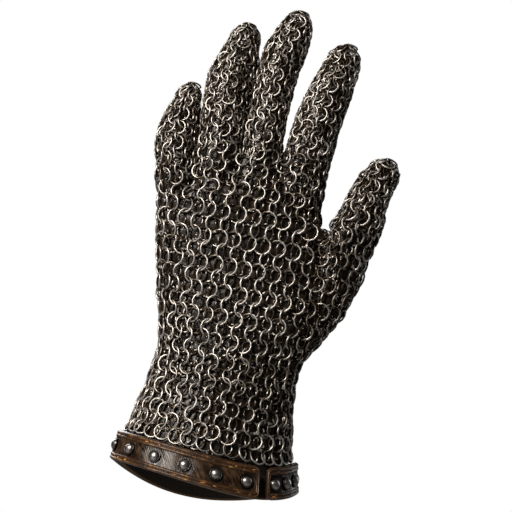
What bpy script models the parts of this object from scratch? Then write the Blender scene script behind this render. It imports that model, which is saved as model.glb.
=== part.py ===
"""Chainmail glove for a left hand: mail over a leather glove, with a riveted strap round the cuff.

The origin is the middle of the cuff's mouth, level with the sides of its rim. +Z runs to the
fingertips, -Y faces away from the back of the hand, and +X is the thumb's side.
The outer face of the mail is the master surface, and every other layer is offset from it.
Tables are in millimetres, and everything built from them is in metres.
"""

import bmesh
import bpy
import numpy as np
from mathutils import Vector

MM = 0.001

# Layers, from the outer face of the mail inwards, and the strap outside it
LAYER_GAP = 0.3 * MM
MAIL_WALL = 3.5 * MM
LINING_WALL = 1.4 * MM
STRAP_WALL = 2.2 * MM
BINDING_WALL = 3.0 * MM

# Heights on the hand
THUMB_PARTING = 92.0     # the thumb begins to stand out from the palm
THUMB_WEB = 161.0        # bottom of the notch between thumb and index finger
THUMB_WEB_X = 45.8
WEB_DIP = 1.5            # the middle of each web lies this much below its two edges
THUMB_FORWARD = 6.0      # the thumb stands this much towards the palm
THUMB_DEPTH = 15.5

# The rim dips on the back, most towards the thumb, and on the palm, most away from it, and
# both fade out up the wrist
RIM_DIP_BACK = 7.8
RIM_DIP_PALM = 13.7
BACK_DIP_LEAN = 0.75
PALM_DIP_LEAN = -0.185
RIM_DIP_ROUND = 1.25
RIM_DIP_END = 62.0

# Columns: each finger takes three on the back of the hand and three on the palm
FINGER_COLUMNS = 3
HAND_COLUMNS = 4 * FINGER_COLUMNS
THUMB_COLUMNS = 4
OVAL_THUMB_ANGLE = 50.0   # where the thumb's columns start on the oval of the wrist, in degrees
PALM_WEB_ANGLE = 20.0     # where the palm's oval meets the thumb's web
LOBE_ANGLE = 144.0        # a finger's columns start here on its own round

# Hand below the thumb's web: its outline at each height
# height, ulnar edge, radial edge, depth of back, depth of palm, fullness (1 is an ellipse)
LOWER_HAND = (
    (-14, -58.4, 57.6, 46.0, 46.0, 1.00),
    (0, -57.0, 55.4, 43.5, 43.5, 1.00),
    (17, -54.9, 52.0, 39.0, 39.5, 1.00),
    (35, -50.7, 48.8, 34.5, 35.5, 0.98),
    (58, -46.0, 45.8, 29.0, 31.0, 0.92),
    (76, -44.4, 46.8, 25.5, 29.0, 0.88),
    (92, -47.2, 55.8, 23.5, 27.5, 0.85),
    (107, -50.9, 64.2, 22.0, 26.2, 0.83),
    (130, -55.6, 73.0, 20.0, 23.8, 0.80),
    (148, -59.3, 76.2, 18.6, 21.6, 0.80),
    (161, -61.0, 79.0, 17.6, 19.8, 0.80),
)
LOWER_ROWS = (0, 5, 9, 20, 36, 53, 68, 80, 92, 107, 124, 142, 161)
MAIL_FOOT = 9.0           # below this height only the leather runs on under the strap

# The mail of the hand comes in three lengths, so that its collision pieces follow it closely
MAIL_LENGTHS = {"cuff": (MAIL_FOOT, 53.0), "wrist": (53.0, 92.0), "palm": (92.0, THUMB_WEB)}
LENGTH_GAP = 0.6           # between one length of the mail and the next

# Hand above the thumb's web, by the share of the way up to the roots of the fingers
# share, ulnar edge, radial edge, depth of back, depth of palm
UPPER_HAND = (
    (0.00, -61.0, 45.8, 17.6, 19.8),
    (0.20, -61.9, 41.2, 17.2, 19.0),
    (0.50, -63.4, 39.6, 16.4, 17.6),
    (1.00, -65.6, 39.4, 14.5, 14.5),
)
UPPER_SHARES = (0.0, 0.2, 0.45, 0.72, 1.0)
UPPER_FULLNESS = 0.8
RADIAL_BULGE = 2.6        # the index finger's side stands this far past the last column
BULGE_SHARE = 0.2

# Roots of the four fingers, from little to index
# ulnar web x, radial web x, height at ulnar web, height at radial web, half depth
ROOTS = (
    (-65.6, -41.6, 184.0, 177.0, 11.8),
    (-41.6, -14.0, 177.0, 201.0, 12.8),
    (-14.0, 10.9, 201.0, 205.0, 13.0),
    (10.9, 39.4, 205.0, 196.0, 13.4),
)
RADIAL_ROOT = 194.0
LOBE_START = 0.15         # the four lobes begin to show at this share of the upper hand

# Each finger's tube: height, centre x, centre y, half width, half depth
FINGERS = {
    "little": (
        (183, -53.8, 0.5, 12.1, 11.6),
        (197, -56.0, 1.6, 13.0, 12.0),
        (209, -56.0, 3.2, 12.4, 11.4),
        (219, -54.6, 5.2, 10.5, 10.2),
        (228, -53.2, 7.2, 8.8, 8.8),
    ),
    "ring": (
        (190, -27.8, 0.3, 13.6, 12.8),
        (212, -28.5, 1.2, 13.8, 13.1),
        (230, -29.0, 2.8, 14.3, 13.3),
        (245, -28.7, 5.0, 14.1, 13.0),
        (258, -26.9, 7.4, 12.3, 11.8),
        (269, -25.3, 9.4, 10.3, 10.0),
    ),
    "middle": (
        (203, -1.5, 0.2, 12.2, 13.0),
        (222, -1.6, 1.0, 12.2, 12.8),
        (240, -1.4, 2.6, 12.4, 12.6),
        (256, -0.3, 4.8, 12.7, 12.4),
        (270, 2.0, 7.2, 12.9, 12.2),
        (281, 4.5, 9.2, 11.4, 10.9),
    ),
    "index": (
        (200, 26.4, 0.2, 14.8, 13.4),
        (213, 27.4, 0.8, 15.3, 13.6),
        (226, 28.7, 1.8, 15.2, 13.6),
        (240, 31.3, 3.4, 14.7, 13.4),
        (252, 34.2, 5.2, 13.7, 12.8),
        (264, 36.9, 7.4, 11.9, 11.4),
    ),
    "thumb": (
        (163, 63.4, 4.0, 16.0, 15.4),
        (173, 66.1, 5.8, 15.2, 14.6),
        (184, 67.8, 8.0, 13.8, 13.5),
        (194, 70.6, 10.6, 12.9, 12.5),
        (202, 74.2, 13.0, 11.5, 11.4),
    ),
}
DOME_HEIGHT = {"little": 10.6, "ring": 12.8, "middle": 14.6, "index": 16.2, "thumb": 12.8}
DOME_STEPS = (0.5, 0.85)
FINGER_ROWS = 5
ROOT_FADE = 0.45          # the root's own outline has faded into the tube by this share
ROOT_LIFT = 1.8           # fingers begin this far above the line of the webs
ROOT_SHRINK = 0.3         # and stand this far clear of each other there

# Block that trims the fingers at their roots
BLOCK_REACH = 110.0

# Cuff strap, open at a slot on the back of the hand near the thumb
STRAP_FOOT = -1.0         # nominal heights, the rim's dip comes on top
STRAP_TOP = 17.4
SLOT_MIDDLE_X = 34.5
SLOT_WIDTH = 5.8
STRAP_COLUMNS = 48
BINDING_WIDTH = 3.0
END_SHARE = 0.5           # of that width across the two ends of the strap
BINDING_CORNER = 4.0
STRAP_TO_BINDING = 0.8
CORNER_STEPS = 4

# Rivets
RIVET_RADIUS = 4.1
RIVET_HEIGHT = 2.3
RIVET_RIM = 0.7
RIVET_STEPS = 10
MAIN_RIVET_PITCH = 20.0   # on the long run of the strap
TAB_RIVET_PITCH = 10.8    # on the short end beside the thumb
MAIN_RIVETS = 14
TAB_RIVETS = 3
SLOT_TO_MAIN_RIVET = 11.4
SLOT_TO_TAB_RIVET = 9.2


def smoothstep(share):
    """Ease from 0 to 1."""
    share = np.clip(share, 0.0, 1.0)
    return share * share * (3.0 - 2.0 * share)


def read_table(table, at):
    """Read a table's other columns at a value of its first, along a smooth curve."""
    rows = np.array(table, dtype=float)
    keys, values = rows[:, 0], rows[:, 1:]
    slopes = np.gradient(values, keys, axis=0)
    low = int(np.clip(np.searchsorted(keys, at) - 1, 0, len(keys) - 2))
    step = keys[low + 1] - keys[low]
    share = (at - keys[low]) / step
    ease = share * share * (3.0 - 2.0 * share)
    leave = share * (1.0 - share) ** 2 * step
    arrive = share * share * (share - 1.0) * step
    return (values[low] * (1.0 - ease) + values[low + 1] * ease
            + slopes[low] * leave + slopes[low + 1] * arrive)


def arc_between(start, end, first, last, steps):
    """x and rise of points along an ellipse's arc whose ends stand at x = start and x = end."""
    turn = np.radians(np.linspace(first, last, steps + 1))
    share = (np.cos(turn[0]) - np.cos(turn)) / (np.cos(turn[0]) - np.cos(turn[-1]))
    return start + (end - start) * share, np.sin(turn)


def rim_dip(height, turn):
    """How far a point lies below its nominal height, at an angle from the thumb's side.

    Angles up to half a turn are on the back, and the others on the palm.
    """
    across = np.sin(turn)
    back = np.clip(across, 0.0, 1.0) ** RIM_DIP_ROUND * np.exp(BACK_DIP_LEAN * np.cos(turn))
    palm = np.clip(-across, 0.0, 1.0) ** 2 * np.exp(PALM_DIP_LEAN * np.cos(turn))
    fade = 1.0 - smoothstep((height - STRAP_FOOT) / (RIM_DIP_END - STRAP_FOOT))
    return fade * (RIM_DIP_BACK * back + RIM_DIP_PALM * palm)


def close_loop(x, back, palm, z_back, z_palm):
    """Join the back's and the palm's halves, which share their first and last points."""
    front = np.stack([x, back, z_back], axis=1)
    rear = np.stack([x, palm, z_palm], axis=1)
    return np.concatenate([front, rear[-2:0:-1]])


def lower_loop(height, outward=0.0):
    """One loop of the hand below the thumb's web, an oval that parts into palm and thumb."""
    ulnar, radial, back, palm, fullness = read_table(LOWER_HAND, height)
    ulnar, radial, back, palm = ulnar - outward, radial + outward, back + outward, palm + outward
    turn = np.radians(np.concatenate([
        np.linspace(180.0, OVAL_THUMB_ANGLE, HAND_COLUMNS + 1),
        np.linspace(OVAL_THUMB_ANGLE, 0.0, THUMB_COLUMNS + 1)[1:]]))
    oval_x = (ulnar + radial) / 2 + (radial - ulnar) / 2 * np.cos(turn)
    oval_rise = np.clip(np.sin(turn), 0.0, 1.0) ** fullness
    palm_x, palm_rise = arc_between(ulnar, THUMB_WEB_X, 180.0, PALM_WEB_ANGLE, HAND_COLUMNS)
    palm_rise = np.clip(palm_rise, 0.0, 1.0) ** fullness
    thumb_x, thumb_rise = arc_between(THUMB_WEB_X, radial, LOBE_ANGLE, 0.0, THUMB_COLUMNS)
    forward = THUMB_FORWARD * (thumb_x[1:] - THUMB_WEB_X) / (radial - THUMB_WEB_X)
    part = smoothstep((height - THUMB_PARTING) / (THUMB_WEB - THUMB_PARTING))
    parted_x = np.concatenate([palm_x, thumb_x[1:]])
    parted_back = np.concatenate([-back * palm_rise, forward - THUMB_DEPTH * thumb_rise[1:]])
    parted_palm = np.concatenate([palm * palm_rise, forward + THUMB_DEPTH * thumb_rise[1:]])
    return close_loop(
        oval_x + part * (parted_x - oval_x),
        -back * oval_rise + part * (parted_back + back * oval_rise),
        palm * oval_rise + part * (parted_palm - palm * oval_rise),
        height - rim_dip(height, turn), height - rim_dip(height, -turn))


def root_halves():
    """x, rise and height of the four finger roots along the hand's top edge."""
    x, rise, height = [], [], []
    for number, (start, end, low, high, depth) in enumerate(ROOTS):
        first = 180.0 if number == 0 else LOBE_ANGLE
        last = 45.0 if number == 0 else 180.0 - LOBE_ANGLE
        arc_x, arc_rise = arc_between(start, end, first, last, FINGER_COLUMNS)
        skip = 0 if number == 0 else 1
        x.extend(arc_x[skip:])
        rise.extend(depth * arc_rise[skip:])
        height.extend(np.linspace(low, high, FINGER_COLUMNS + 1)[skip:])
    return np.array(x), np.array(rise), np.array(height)


def upper_loop(share):
    """One loop of the hand above the thumb's web, an oval that parts into four lobes."""
    ulnar, radial, back, palm = read_table(UPPER_HAND, share)
    root_x, root_rise, root_height = root_halves()
    oval_x, oval_rise = arc_between(ulnar, radial, 180.0, PALM_WEB_ANGLE, HAND_COLUMNS)
    oval_rise = np.clip(oval_rise, 0.0, 1.0) ** UPPER_FULLNESS
    part = smoothstep((share - LOBE_START) / (1.0 - LOBE_START))
    x = oval_x + part * (root_x - oval_x)
    y_back = -back * oval_rise + part * (back * oval_rise - root_rise)
    y_palm = palm * oval_rise + part * (root_rise - palm * oval_rise)
    z = THUMB_WEB + share * (root_height - THUMB_WEB)
    side_x = x[-1] + RADIAL_BULGE * smoothstep(share / BULGE_SHARE)
    side_z = THUMB_WEB + share * (RADIAL_ROOT - THUMB_WEB) - WEB_DIP * (1.0 - share)
    side_y = (y_back[-1] + y_palm[-1]) / 2 * (1.0 - share)
    z = np.append(z, side_z)
    return close_loop(np.append(x, side_x), np.append(y_back, side_y),
                      np.append(y_palm, side_y), z, z)


def web_middle(loop, column, length):
    """The low middle of a web, between a column of the back and its partner of the palm."""
    middle = (loop[column] + loop[length - column]) / 2
    middle[2] -= WEB_DIP
    return middle


def finger_root(name):
    """The loop that a finger stands on, from its ulnar side over the back of the hand."""
    if name == "thumb":
        loop = lower_loop(THUMB_WEB)
        first, last = HAND_COLUMNS, HAND_COLUMNS + THUMB_COLUMNS
        web = web_middle(loop, first, len(loop))
        return np.concatenate([[web], loop[first:last + 1],
                               loop[last + 1:last + THUMB_COLUMNS + 1]])
    loop = upper_loop(1.0)
    number = ("little", "ring", "middle", "index").index(name)
    first, last = number * FINGER_COLUMNS, (number + 1) * FINGER_COLUMNS
    back = loop[first:last + 1]
    palm = loop[len(loop) - last:len(loop) - first + 1]
    if name == "index":
        radial = loop[HAND_COLUMNS + 1]
    else:
        radial = web_middle(loop, last, len(loop))
    if name == "little":
        return np.concatenate([back, [radial], palm[:-1]])
    return np.concatenate([[web_middle(loop, first, len(loop))], back, [radial], palm])


def tube_loop(centre, ahead, width, depth, count):
    """A loop of count points round a finger, square to the way that it points."""
    ahead = ahead / np.linalg.norm(ahead)
    side = np.array([ahead[2], 0.0, -ahead[0]])
    side /= np.linalg.norm(side)
    rear = np.cross(ahead, side)
    turn = np.pi - 2.0 * np.pi * np.arange(count) / count
    return (centre + width * np.cos(turn)[:, None] * side
            - depth * np.sin(turn)[:, None] * rear)


def finger_loops(name):
    """A finger's loops from its root to its dome, and the tip that closes it."""
    table = FINGERS[name]
    root = finger_root(name)
    start, end = table[0][0], table[-1][0]
    loops = []
    for share in np.linspace(0.0, 1.0, FINGER_ROWS + 1):
        height = start + share * (end - start)
        x, y, width, depth = read_table(table, height)
        beyond = read_table(table, height + 1.0)
        centre = np.array([x, y, height])
        ahead = np.array([beyond[0] - x, beyond[1] - y, 1.0])
        loop = tube_loop(centre, ahead, width, depth, len(root))
        if share == 0.0:
            outward = root - root.mean(axis=0)
            reach = np.linalg.norm(outward, axis=1, keepdims=True)
            own_outline = root - outward * (ROOT_SHRINK / reach) - loop
        fade = max(0.0, 1.0 - share / ROOT_FADE) ** 2
        loops.append(loop + own_outline * fade)
    ahead = ahead / np.linalg.norm(ahead)
    for step in DOME_STEPS:
        shrink = np.sqrt(1.0 - step * step)
        loops.append(tube_loop(centre + ahead * DOME_HEIGHT[name] * step, ahead,
                               width * shrink, depth * shrink, len(root)))
    return loops, centre + ahead * DOME_HEIGHT[name]


def add_loops(mesh, loops):
    """Join loops of equal length with rings of quads, and return their vertices."""
    rings = [[mesh.verts.new(point * MM) for point in loop] for loop in loops]
    for lower, upper in zip(rings, rings[1:]):
        for here in range(len(lower)):
            after = (here + 1) % len(lower)
            mesh.faces.new((lower[here], lower[after], upper[after], upper[here]))
    return rings


def hand_surface(name, foot, top):
    """The open surface of the hand between two heights, and up to the fingers from the web on."""
    heights = [height for height in LOWER_ROWS if foot <= height <= top]
    if top < THUMB_WEB:
        heights[-1] -= LENGTH_GAP
    grid = bmesh.new()
    add_loops(grid, [lower_loop(height, MAIL_WALL / MM if height < MAIL_FOOT else 0.0)
                     for height in heights])
    if top == THUMB_WEB:
        add_loops(grid, [upper_loop(share) for share in UPPER_SHARES])
    return mesh_from(name, grid)


def finger_surface(name, finger):
    """The open surface of one finger, closed at its tip by a fan."""
    grid = bmesh.new()
    loops, tip = finger_loops(finger)
    last = add_loops(grid, loops)[-1]
    point = grid.verts.new(tip * MM)
    for here in range(len(last)):
        grid.faces.new((last[here], last[(here + 1) % len(last)], point))
    return mesh_from(name, grid)


def make_material(name, colour, roughness, metallic):
    """A Principled BSDF of one colour, given as linear red, green and blue."""
    material = bpy.data.materials.new(name)
    material.use_nodes = True
    shader = material.node_tree.nodes["Principled BSDF"]
    shader.inputs["Base Color"].default_value = (*colour, 1.0)
    shader.inputs["Roughness"].default_value = roughness
    shader.inputs["Metallic"].default_value = metallic
    return material


def place_object(name, mesh, collection, material):
    """Give a mesh its object, its own copy of the material and smooth shading."""
    own = material.copy()
    own.name = name
    mesh.materials.append(own)
    piece = bpy.data.objects.new(name, mesh)
    collection.objects.link(piece)
    mesh.shade_smooth()
    return piece


def mesh_from(name, grid):
    """Weld a grid's shared edges, turn its faces out and store it as triangles.

    Layers made from one surface then fold along the same diagonals and stay parallel.
    """
    bmesh.ops.remove_doubles(grid, verts=grid.verts, dist=0.01 * MM)
    bmesh.ops.recalc_face_normals(grid, faces=grid.faces)
    bmesh.ops.triangulate(grid, faces=grid.faces, quad_method="FIXED")
    mesh = bpy.data.meshes.new(name)
    grid.to_mesh(mesh)
    grid.free()
    return mesh


def solidify(piece, wall, start=0.0):
    """Give an open surface a wall that begins this far inside it."""
    shell = piece.modifiers.new("wall", "SOLIDIFY")
    shell.thickness = wall
    shell.offset = -1.0 - 2.0 * start / wall
    shell.use_rim = True


def roots_block(collection):
    """A cutter that fills everything below the line of the webs."""
    line = [(-BLOCK_REACH, ROOTS[0][2]), (ROOTS[0][0], ROOTS[0][2])]
    line += [(end, high) for _, end, _, high, _ in ROOTS]
    line += [(THUMB_WEB_X, RADIAL_ROOT), (THUMB_WEB_X, THUMB_WEB), (BLOCK_REACH, THUMB_WEB)]
    outline = [(x, z + ROOT_LIFT) for x, z in line] + [(BLOCK_REACH, 0.0), (-BLOCK_REACH, 0.0)]
    grid = bmesh.new()
    face = grid.faces.new([grid.verts.new((x * MM, -BLOCK_REACH * MM, z * MM))
                           for x, z in outline])
    rear = bmesh.ops.extrude_face_region(grid, geom=[face])["geom"]
    bmesh.ops.translate(grid, verts=[item for item in rear if isinstance(item, bmesh.types.BMVert)],
                        vec=(0.0, 2.0 * BLOCK_REACH * MM, 0.0))
    cutter = bpy.data.objects.new("roots_block", mesh_from("roots_block", grid))
    collection.objects.link(cutter)
    cutter.hide_render = True
    cutter.display_type = "WIRE"
    return cutter


def build_glove(collection, cutter, layer, lengths, material, wall, start):
    """One layer of the glove: the hand's lengths, and five fingers trimmed above the webs."""
    for length, (foot, top) in lengths.items():
        name = f"{layer}_{length}"
        hand = place_object(name, hand_surface(name, foot, top), collection, material)
        solidify(hand, wall, start)
    for finger in FINGERS:
        name = f"{layer}_{finger}"
        piece = place_object(name, finger_surface(name, finger), collection, material)
        solidify(piece, wall, start)
        trim = piece.modifiers.new("trim", "BOOLEAN")
        trim.operation = "DIFFERENCE"
        trim.solver = "EXACT"
        trim.object = cutter


def cuff_point(turn, height, outward):
    """A point of the cuff at an angle from its radial side, this far outside the mail."""
    ulnar, radial, back, palm, _ = read_table(LOWER_HAND, height)
    reach = (radial - ulnar) / 2
    depth = back if np.sin(turn) > 0 else palm
    normal = np.array([np.cos(turn) / reach, -np.sin(turn) / depth, 0.0])
    normal /= np.linalg.norm(normal)
    foot = np.array([(ulnar + radial) / 2 + reach * np.cos(turn), -depth * np.sin(turn),
                     height - rim_dip(height, turn)])
    return foot + normal * outward


def cuff_run():
    """Angles round the cuff and the distance along it, from one side of the slot to the other."""
    turns = np.linspace(0.0, 2.0 * np.pi, 721)
    middle = (STRAP_FOOT + STRAP_TOP) / 2
    start = min((abs(cuff_point(turn, middle, 0.0)[0] - SLOT_MIDDLE_X), turn)
                for turn in turns[:360])[1]
    points = np.array([cuff_point(start + turn, middle, STRAP_WALL / MM) for turn in turns])
    lengths = np.linalg.norm(np.diff(points, axis=0), axis=1)
    return start + turns, np.concatenate([[0.0], np.cumsum(lengths)])


def strap_point(run, distance, height, outward):
    """A point of the strap, this far along it from the middle of the slot."""
    return cuff_point(np.interp(distance, run[1], run[0]), height, outward)


def strap_normal(run, distance, height, outward):
    """The way that the strap's outer face looks, which leans down with the cuff's flare."""
    along = (strap_point(run, distance + 1.0, height, outward)
             - strap_point(run, distance - 1.0, height, outward))
    up = (strap_point(run, distance, height + 1.0, outward)
          - strap_point(run, distance, height - 1.0, outward))
    normal = np.cross(up, along)
    return normal / np.linalg.norm(normal)


def build_strap(collection, leather):
    """The flat of the strap, inside its binding."""
    run = cuff_run()
    outward = (LAYER_GAP + STRAP_WALL) / MM
    inset = BINDING_WIDTH + STRAP_TO_BINDING
    first = SLOT_WIDTH / 2 + BINDING_WIDTH * END_SHARE + STRAP_TO_BINDING
    distances = np.linspace(first, run[1][-1] - first, STRAP_COLUMNS + 1)
    heights = (STRAP_FOOT + inset, (STRAP_FOOT + STRAP_TOP) / 2, STRAP_TOP - inset)
    grid = bmesh.new()
    rows = [[grid.verts.new(strap_point(run, far, height, outward) * MM) for far in distances]
            for height in heights]
    for low, high in zip(rows, rows[1:]):
        for here in range(STRAP_COLUMNS):
            grid.faces.new((low[here + 1], low[here], high[here], high[here + 1]))
    piece = place_object("cuff_strap", mesh_from("cuff_strap", grid), collection, leather)
    solidify(piece, STRAP_WALL)


def binding_path(run, inset):
    """Distances and heights round the strap's edge, with rounded corners, this far inside it.

    Across the strap's ends they lie less far inside it.
    """
    end_inset = inset * END_SHARE
    first, last = SLOT_WIDTH / 2 + end_inset, run[1][-1] - SLOT_WIDTH / 2 - end_inset
    foot, top = STRAP_FOOT + inset, STRAP_TOP - inset
    reach, rise = BINDING_CORNER - end_inset, BINDING_CORNER - inset
    path = []
    corners = ((last - reach, foot + rise, -90.0), (last - reach, top - rise, 0.0),
               (first + reach, top - rise, 90.0), (first + reach, foot + rise, 180.0))
    for centre_along, centre_up, turn in corners:
        for angle in np.radians(turn + np.linspace(0.0, 90.0, CORNER_STEPS + 1)):
            path.append((centre_along + reach * np.cos(angle), centre_up + rise * np.sin(angle)))
        if turn in (0.0, 180.0):
            far = first + reach if turn == 0.0 else last - reach
            for along in np.linspace(path[-1][0], far, STRAP_COLUMNS + 1)[1:-1]:
                path.append((along, path[-1][1]))
    return path


def build_binding(collection, leather):
    """The leather binding that frames the strap all the way round its edge."""
    run = cuff_run()
    outward = (LAYER_GAP + BINDING_WALL) / MM
    loops = []
    for inset in (0.0, BINDING_WIDTH):
        loops.append(np.array([strap_point(run, along, up, outward)
                               for along, up in binding_path(run, inset)]))
    grid = bmesh.new()
    add_loops(grid, loops)
    mesh = mesh_from("edge_binding", grid)
    solidify(place_object("edge_binding", mesh, collection, leather), BINDING_WALL)


def rivet_mesh():
    """A low dome on a thin rim, turned about its own +Z from an open profile."""
    grid = bmesh.new()
    turn = np.radians((90.0, 55.0, 15.0))
    profile = [(RIVET_RADIUS * np.cos(angle), RIVET_RIM + (RIVET_HEIGHT - RIVET_RIM) * np.sin(angle))
               for angle in turn] + [(RIVET_RADIUS, 0.0), (0.0, 0.0)]
    profile[0] = (0.0, RIVET_HEIGHT)
    points = [grid.verts.new((across * MM, 0.0, up * MM)) for across, up in profile]
    edges = [grid.edges.new(pair) for pair in zip(points, points[1:])]
    bmesh.ops.spin(grid, geom=points + edges, axis=(0, 0, 1), cent=(0, 0, 0),
                   angle=2.0 * np.pi, steps=RIVET_STEPS, use_merge=True)
    return mesh_from("rivet", grid)


def build_rivets(collection, steel):
    """Rivets along the middle of the strap, closer together on the short end by the thumb."""
    run = cuff_run()
    length = run[1][-1]
    spots = [length - SLOT_TO_TAB_RIVET - number * TAB_RIVET_PITCH for number in range(TAB_RIVETS)]
    spots += [SLOT_TO_MAIN_RIVET + number * MAIN_RIVET_PITCH for number in range(MAIN_RIVETS)]
    outward = (2.0 * LAYER_GAP + STRAP_WALL) / MM
    middle = (STRAP_FOOT + STRAP_TOP) / 2
    for number, spot in enumerate(sorted(spots), start=1):
        name = f"rivet_{number:02d}"
        place = strap_point(run, spot, middle, outward)
        normal = strap_normal(run, spot, middle, outward)
        piece = place_object(name, rivet_mesh(), collection, steel)
        piece.location = place * MM
        piece.rotation_mode = "QUATERNION"
        piece.rotation_quaternion = Vector(normal).to_track_quat("Z", "X")


def main():
    """Clear the scene and build the glove."""
    for old in list(bpy.data.objects):
        bpy.data.objects.remove(old)
    collection = bpy.data.collections.new("chainmail_glove")
    bpy.context.scene.collection.children.link(collection)
    oiled_steel = make_material("oiled_steel", (0.16, 0.15, 0.14), 0.35, 1.0)
    dark_leather = make_material("dark_leather", (0.018, 0.013, 0.010), 0.7, 0.0)
    strap_leather = make_material("strap_leather", (0.060, 0.033, 0.018), 0.45, 0.0)
    binding_leather = make_material("binding_leather", (0.13, 0.07, 0.035), 0.5, 0.0)
    rivet_steel = make_material("rivet_steel", (0.22, 0.21, 0.20), 0.3, 1.0)
    cutters = bpy.data.collections.new("cutters")
    bpy.context.scene.collection.children.link(cutters)
    block = roots_block(cutters)
    build_glove(collection, block, "mail", MAIL_LENGTHS, oiled_steel, MAIL_WALL, 0.0)
    build_glove(collection, block, "leather", {"hand": (0.0, THUMB_WEB)}, dark_leather,
                LINING_WALL, MAIL_WALL + LAYER_GAP)
    build_strap(collection, strap_leather)
    build_binding(collection, binding_leather)
    build_rivets(collection, rivet_steel)


main()
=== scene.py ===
"""Chainmail glove for a left hand: linked steel rings over a leather glove, and a riveted strap.

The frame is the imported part's own: the origin is the middle of the cuff's mouth, +Z runs to the
fingertips, -Y faces away from the back of the hand, and +X is the thumb's side.
The outer face of the mail is the master surface, which the rings lie in and the leather follows.
Numbers and tables are in millimetres and degrees, unless a comment says otherwise, and
everything that is put in the scene is in metres.
"""

import bmesh
import bpy
import numpy as np
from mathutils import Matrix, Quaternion, Vector


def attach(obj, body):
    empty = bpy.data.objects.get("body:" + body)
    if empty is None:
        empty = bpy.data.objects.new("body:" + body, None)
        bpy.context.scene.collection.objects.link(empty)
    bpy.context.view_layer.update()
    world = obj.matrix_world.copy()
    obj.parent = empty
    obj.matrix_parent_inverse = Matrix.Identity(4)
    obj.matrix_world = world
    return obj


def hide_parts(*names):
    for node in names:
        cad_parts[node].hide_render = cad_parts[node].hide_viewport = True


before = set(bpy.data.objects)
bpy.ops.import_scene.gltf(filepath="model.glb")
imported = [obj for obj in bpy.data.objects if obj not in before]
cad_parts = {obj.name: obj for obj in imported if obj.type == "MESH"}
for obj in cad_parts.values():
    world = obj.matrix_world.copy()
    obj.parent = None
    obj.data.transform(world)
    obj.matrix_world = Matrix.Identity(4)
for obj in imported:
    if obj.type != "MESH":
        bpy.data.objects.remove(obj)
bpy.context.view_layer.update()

MM = 0.001
NEAR = 1.0               # distance over which the way along a surface is measured
draw = np.random.default_rng(7)

# Layers, from the outer face of the mail inwards, and the strap outside it
LAYER_GAP = 0.3          # between one layer and the next
MAIL_WALL = 3.5
LEATHER_WALL = 1.4
LEATHER_DEPTH = 4.2      # under the loose mail of the back and the palm
FINGER_DEPTH = 3.0       # under the finer mail of the fingers
TIGHT_DEPTH = 2.1        # under the tight mail of the sides
TIGHT_EASE = 15.0        # it gets so over this height above the strap
TIGHT_START = 0.45       # mail begins to tighten where it has turned this far from back or palm
TIGHT_REACH = 0.45       # and is tight this much further on
PILLOW_RISE = 0.5        # the leather swells this much into each ring
PILLOW_RADIUS = 1.9
OUT_TOP = 14.0           # below here the leather comes out to the strap, past the mail's foot
MOUTH_TOP = 20.0         # it is plain brown from the hem up to here, and oiled above
WELD = 0.02              # points closer than this are one
STRAP_WALL = 2.2

# Heights on the hand
THUMB_PARTING = 92.0     # the thumb begins to stand out from the palm
THUMB_WEB = 161.0        # bottom of the notch between thumb and index finger
THUMB_WEB_X = 45.8
WEB_DIP = 1.5            # the middle of a web lies this much lower than its edges
WEB_SAG = 5.0            # the last row under the notch hangs this far down into it
WEB_SAG_REACH = 9.0
WEB_SAG_FADE = 24.0      # and the rows below it ever less, over this height
THUMB_FORWARD = 6.0      # the thumb's edge stands this far towards the palm
THUMB_DEPTH = 15.5       # from its middle to its back, and to its palm side
RIM_DIP_BACK = 7.8       # the cuff's rim dips this much on the back, and this much on the palm
RIM_DIP_PALM = 13.7
BACK_DIP_LEAN = 0.75     # deeper towards the thumb's side
PALM_DIP_LEAN = -0.185   # deeper away from it
RIM_DIP_ROUND = 1.25
RIM_DIP_END = 62.0       # height at which the dips have faded out
MAIL_FOOT = 9.0          # only the leather runs on below this height, under the strap

# Hand below the thumb's web: its outline at each height
# height, ulnar edge, radial edge, depth of back, depth of palm, fullness (1 is an ellipse)
LOWER_HAND = (
    (-14, -58.4, 57.6, 46.0, 46.0, 1.00),
    (0, -57.0, 55.4, 43.5, 43.5, 1.00),
    (17, -54.9, 52.0, 39.0, 39.5, 1.00),
    (35, -50.7, 48.8, 34.5, 35.5, 0.98),
    (58, -46.0, 45.8, 29.0, 31.0, 0.92),
    (76, -44.4, 46.8, 25.5, 29.0, 0.88),
    (92, -47.2, 55.8, 23.5, 27.5, 0.85),
    (107, -50.9, 64.2, 22.0, 26.2, 0.83),
    (130, -55.6, 73.0, 20.0, 23.8, 0.80),
    (148, -59.3, 76.2, 18.6, 21.6, 0.80),
    (161, -61.0, 79.0, 17.6, 19.8, 0.80),
)

# Hand above the thumb's web, by the share of the way up to the roots of the fingers
# share, ulnar edge, radial edge, depth of back, depth of palm
UPPER_HAND = (
    (0.00, -61.0, 45.8, 17.6, 19.8),
    (0.20, -61.9, 41.2, 17.2, 19.0),
    (0.50, -63.4, 39.6, 16.4, 17.6),
    (1.00, -65.6, 39.4, 14.5, 14.5),
)
UPPER_FULLNESS = 0.8
RADIAL_BULGE = 2.6
BULGE_SHARE = 0.2
LOBE_START = 0.15
RADIAL_ROOT = 194.0

# Roots of the four fingers
# ulnar web x, radial web x, height at ulnar web, height at radial web, half depth
ROOTS = {
    "little": (-65.6, -41.6, 184.0, 177.0, 11.8),
    "ring": (-41.6, -14.0, 177.0, 201.0, 12.8),
    "middle": (-14.0, 10.9, 201.0, 205.0, 13.0),
    "index": (10.9, 39.4, 205.0, 196.0, 13.4),
}

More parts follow.
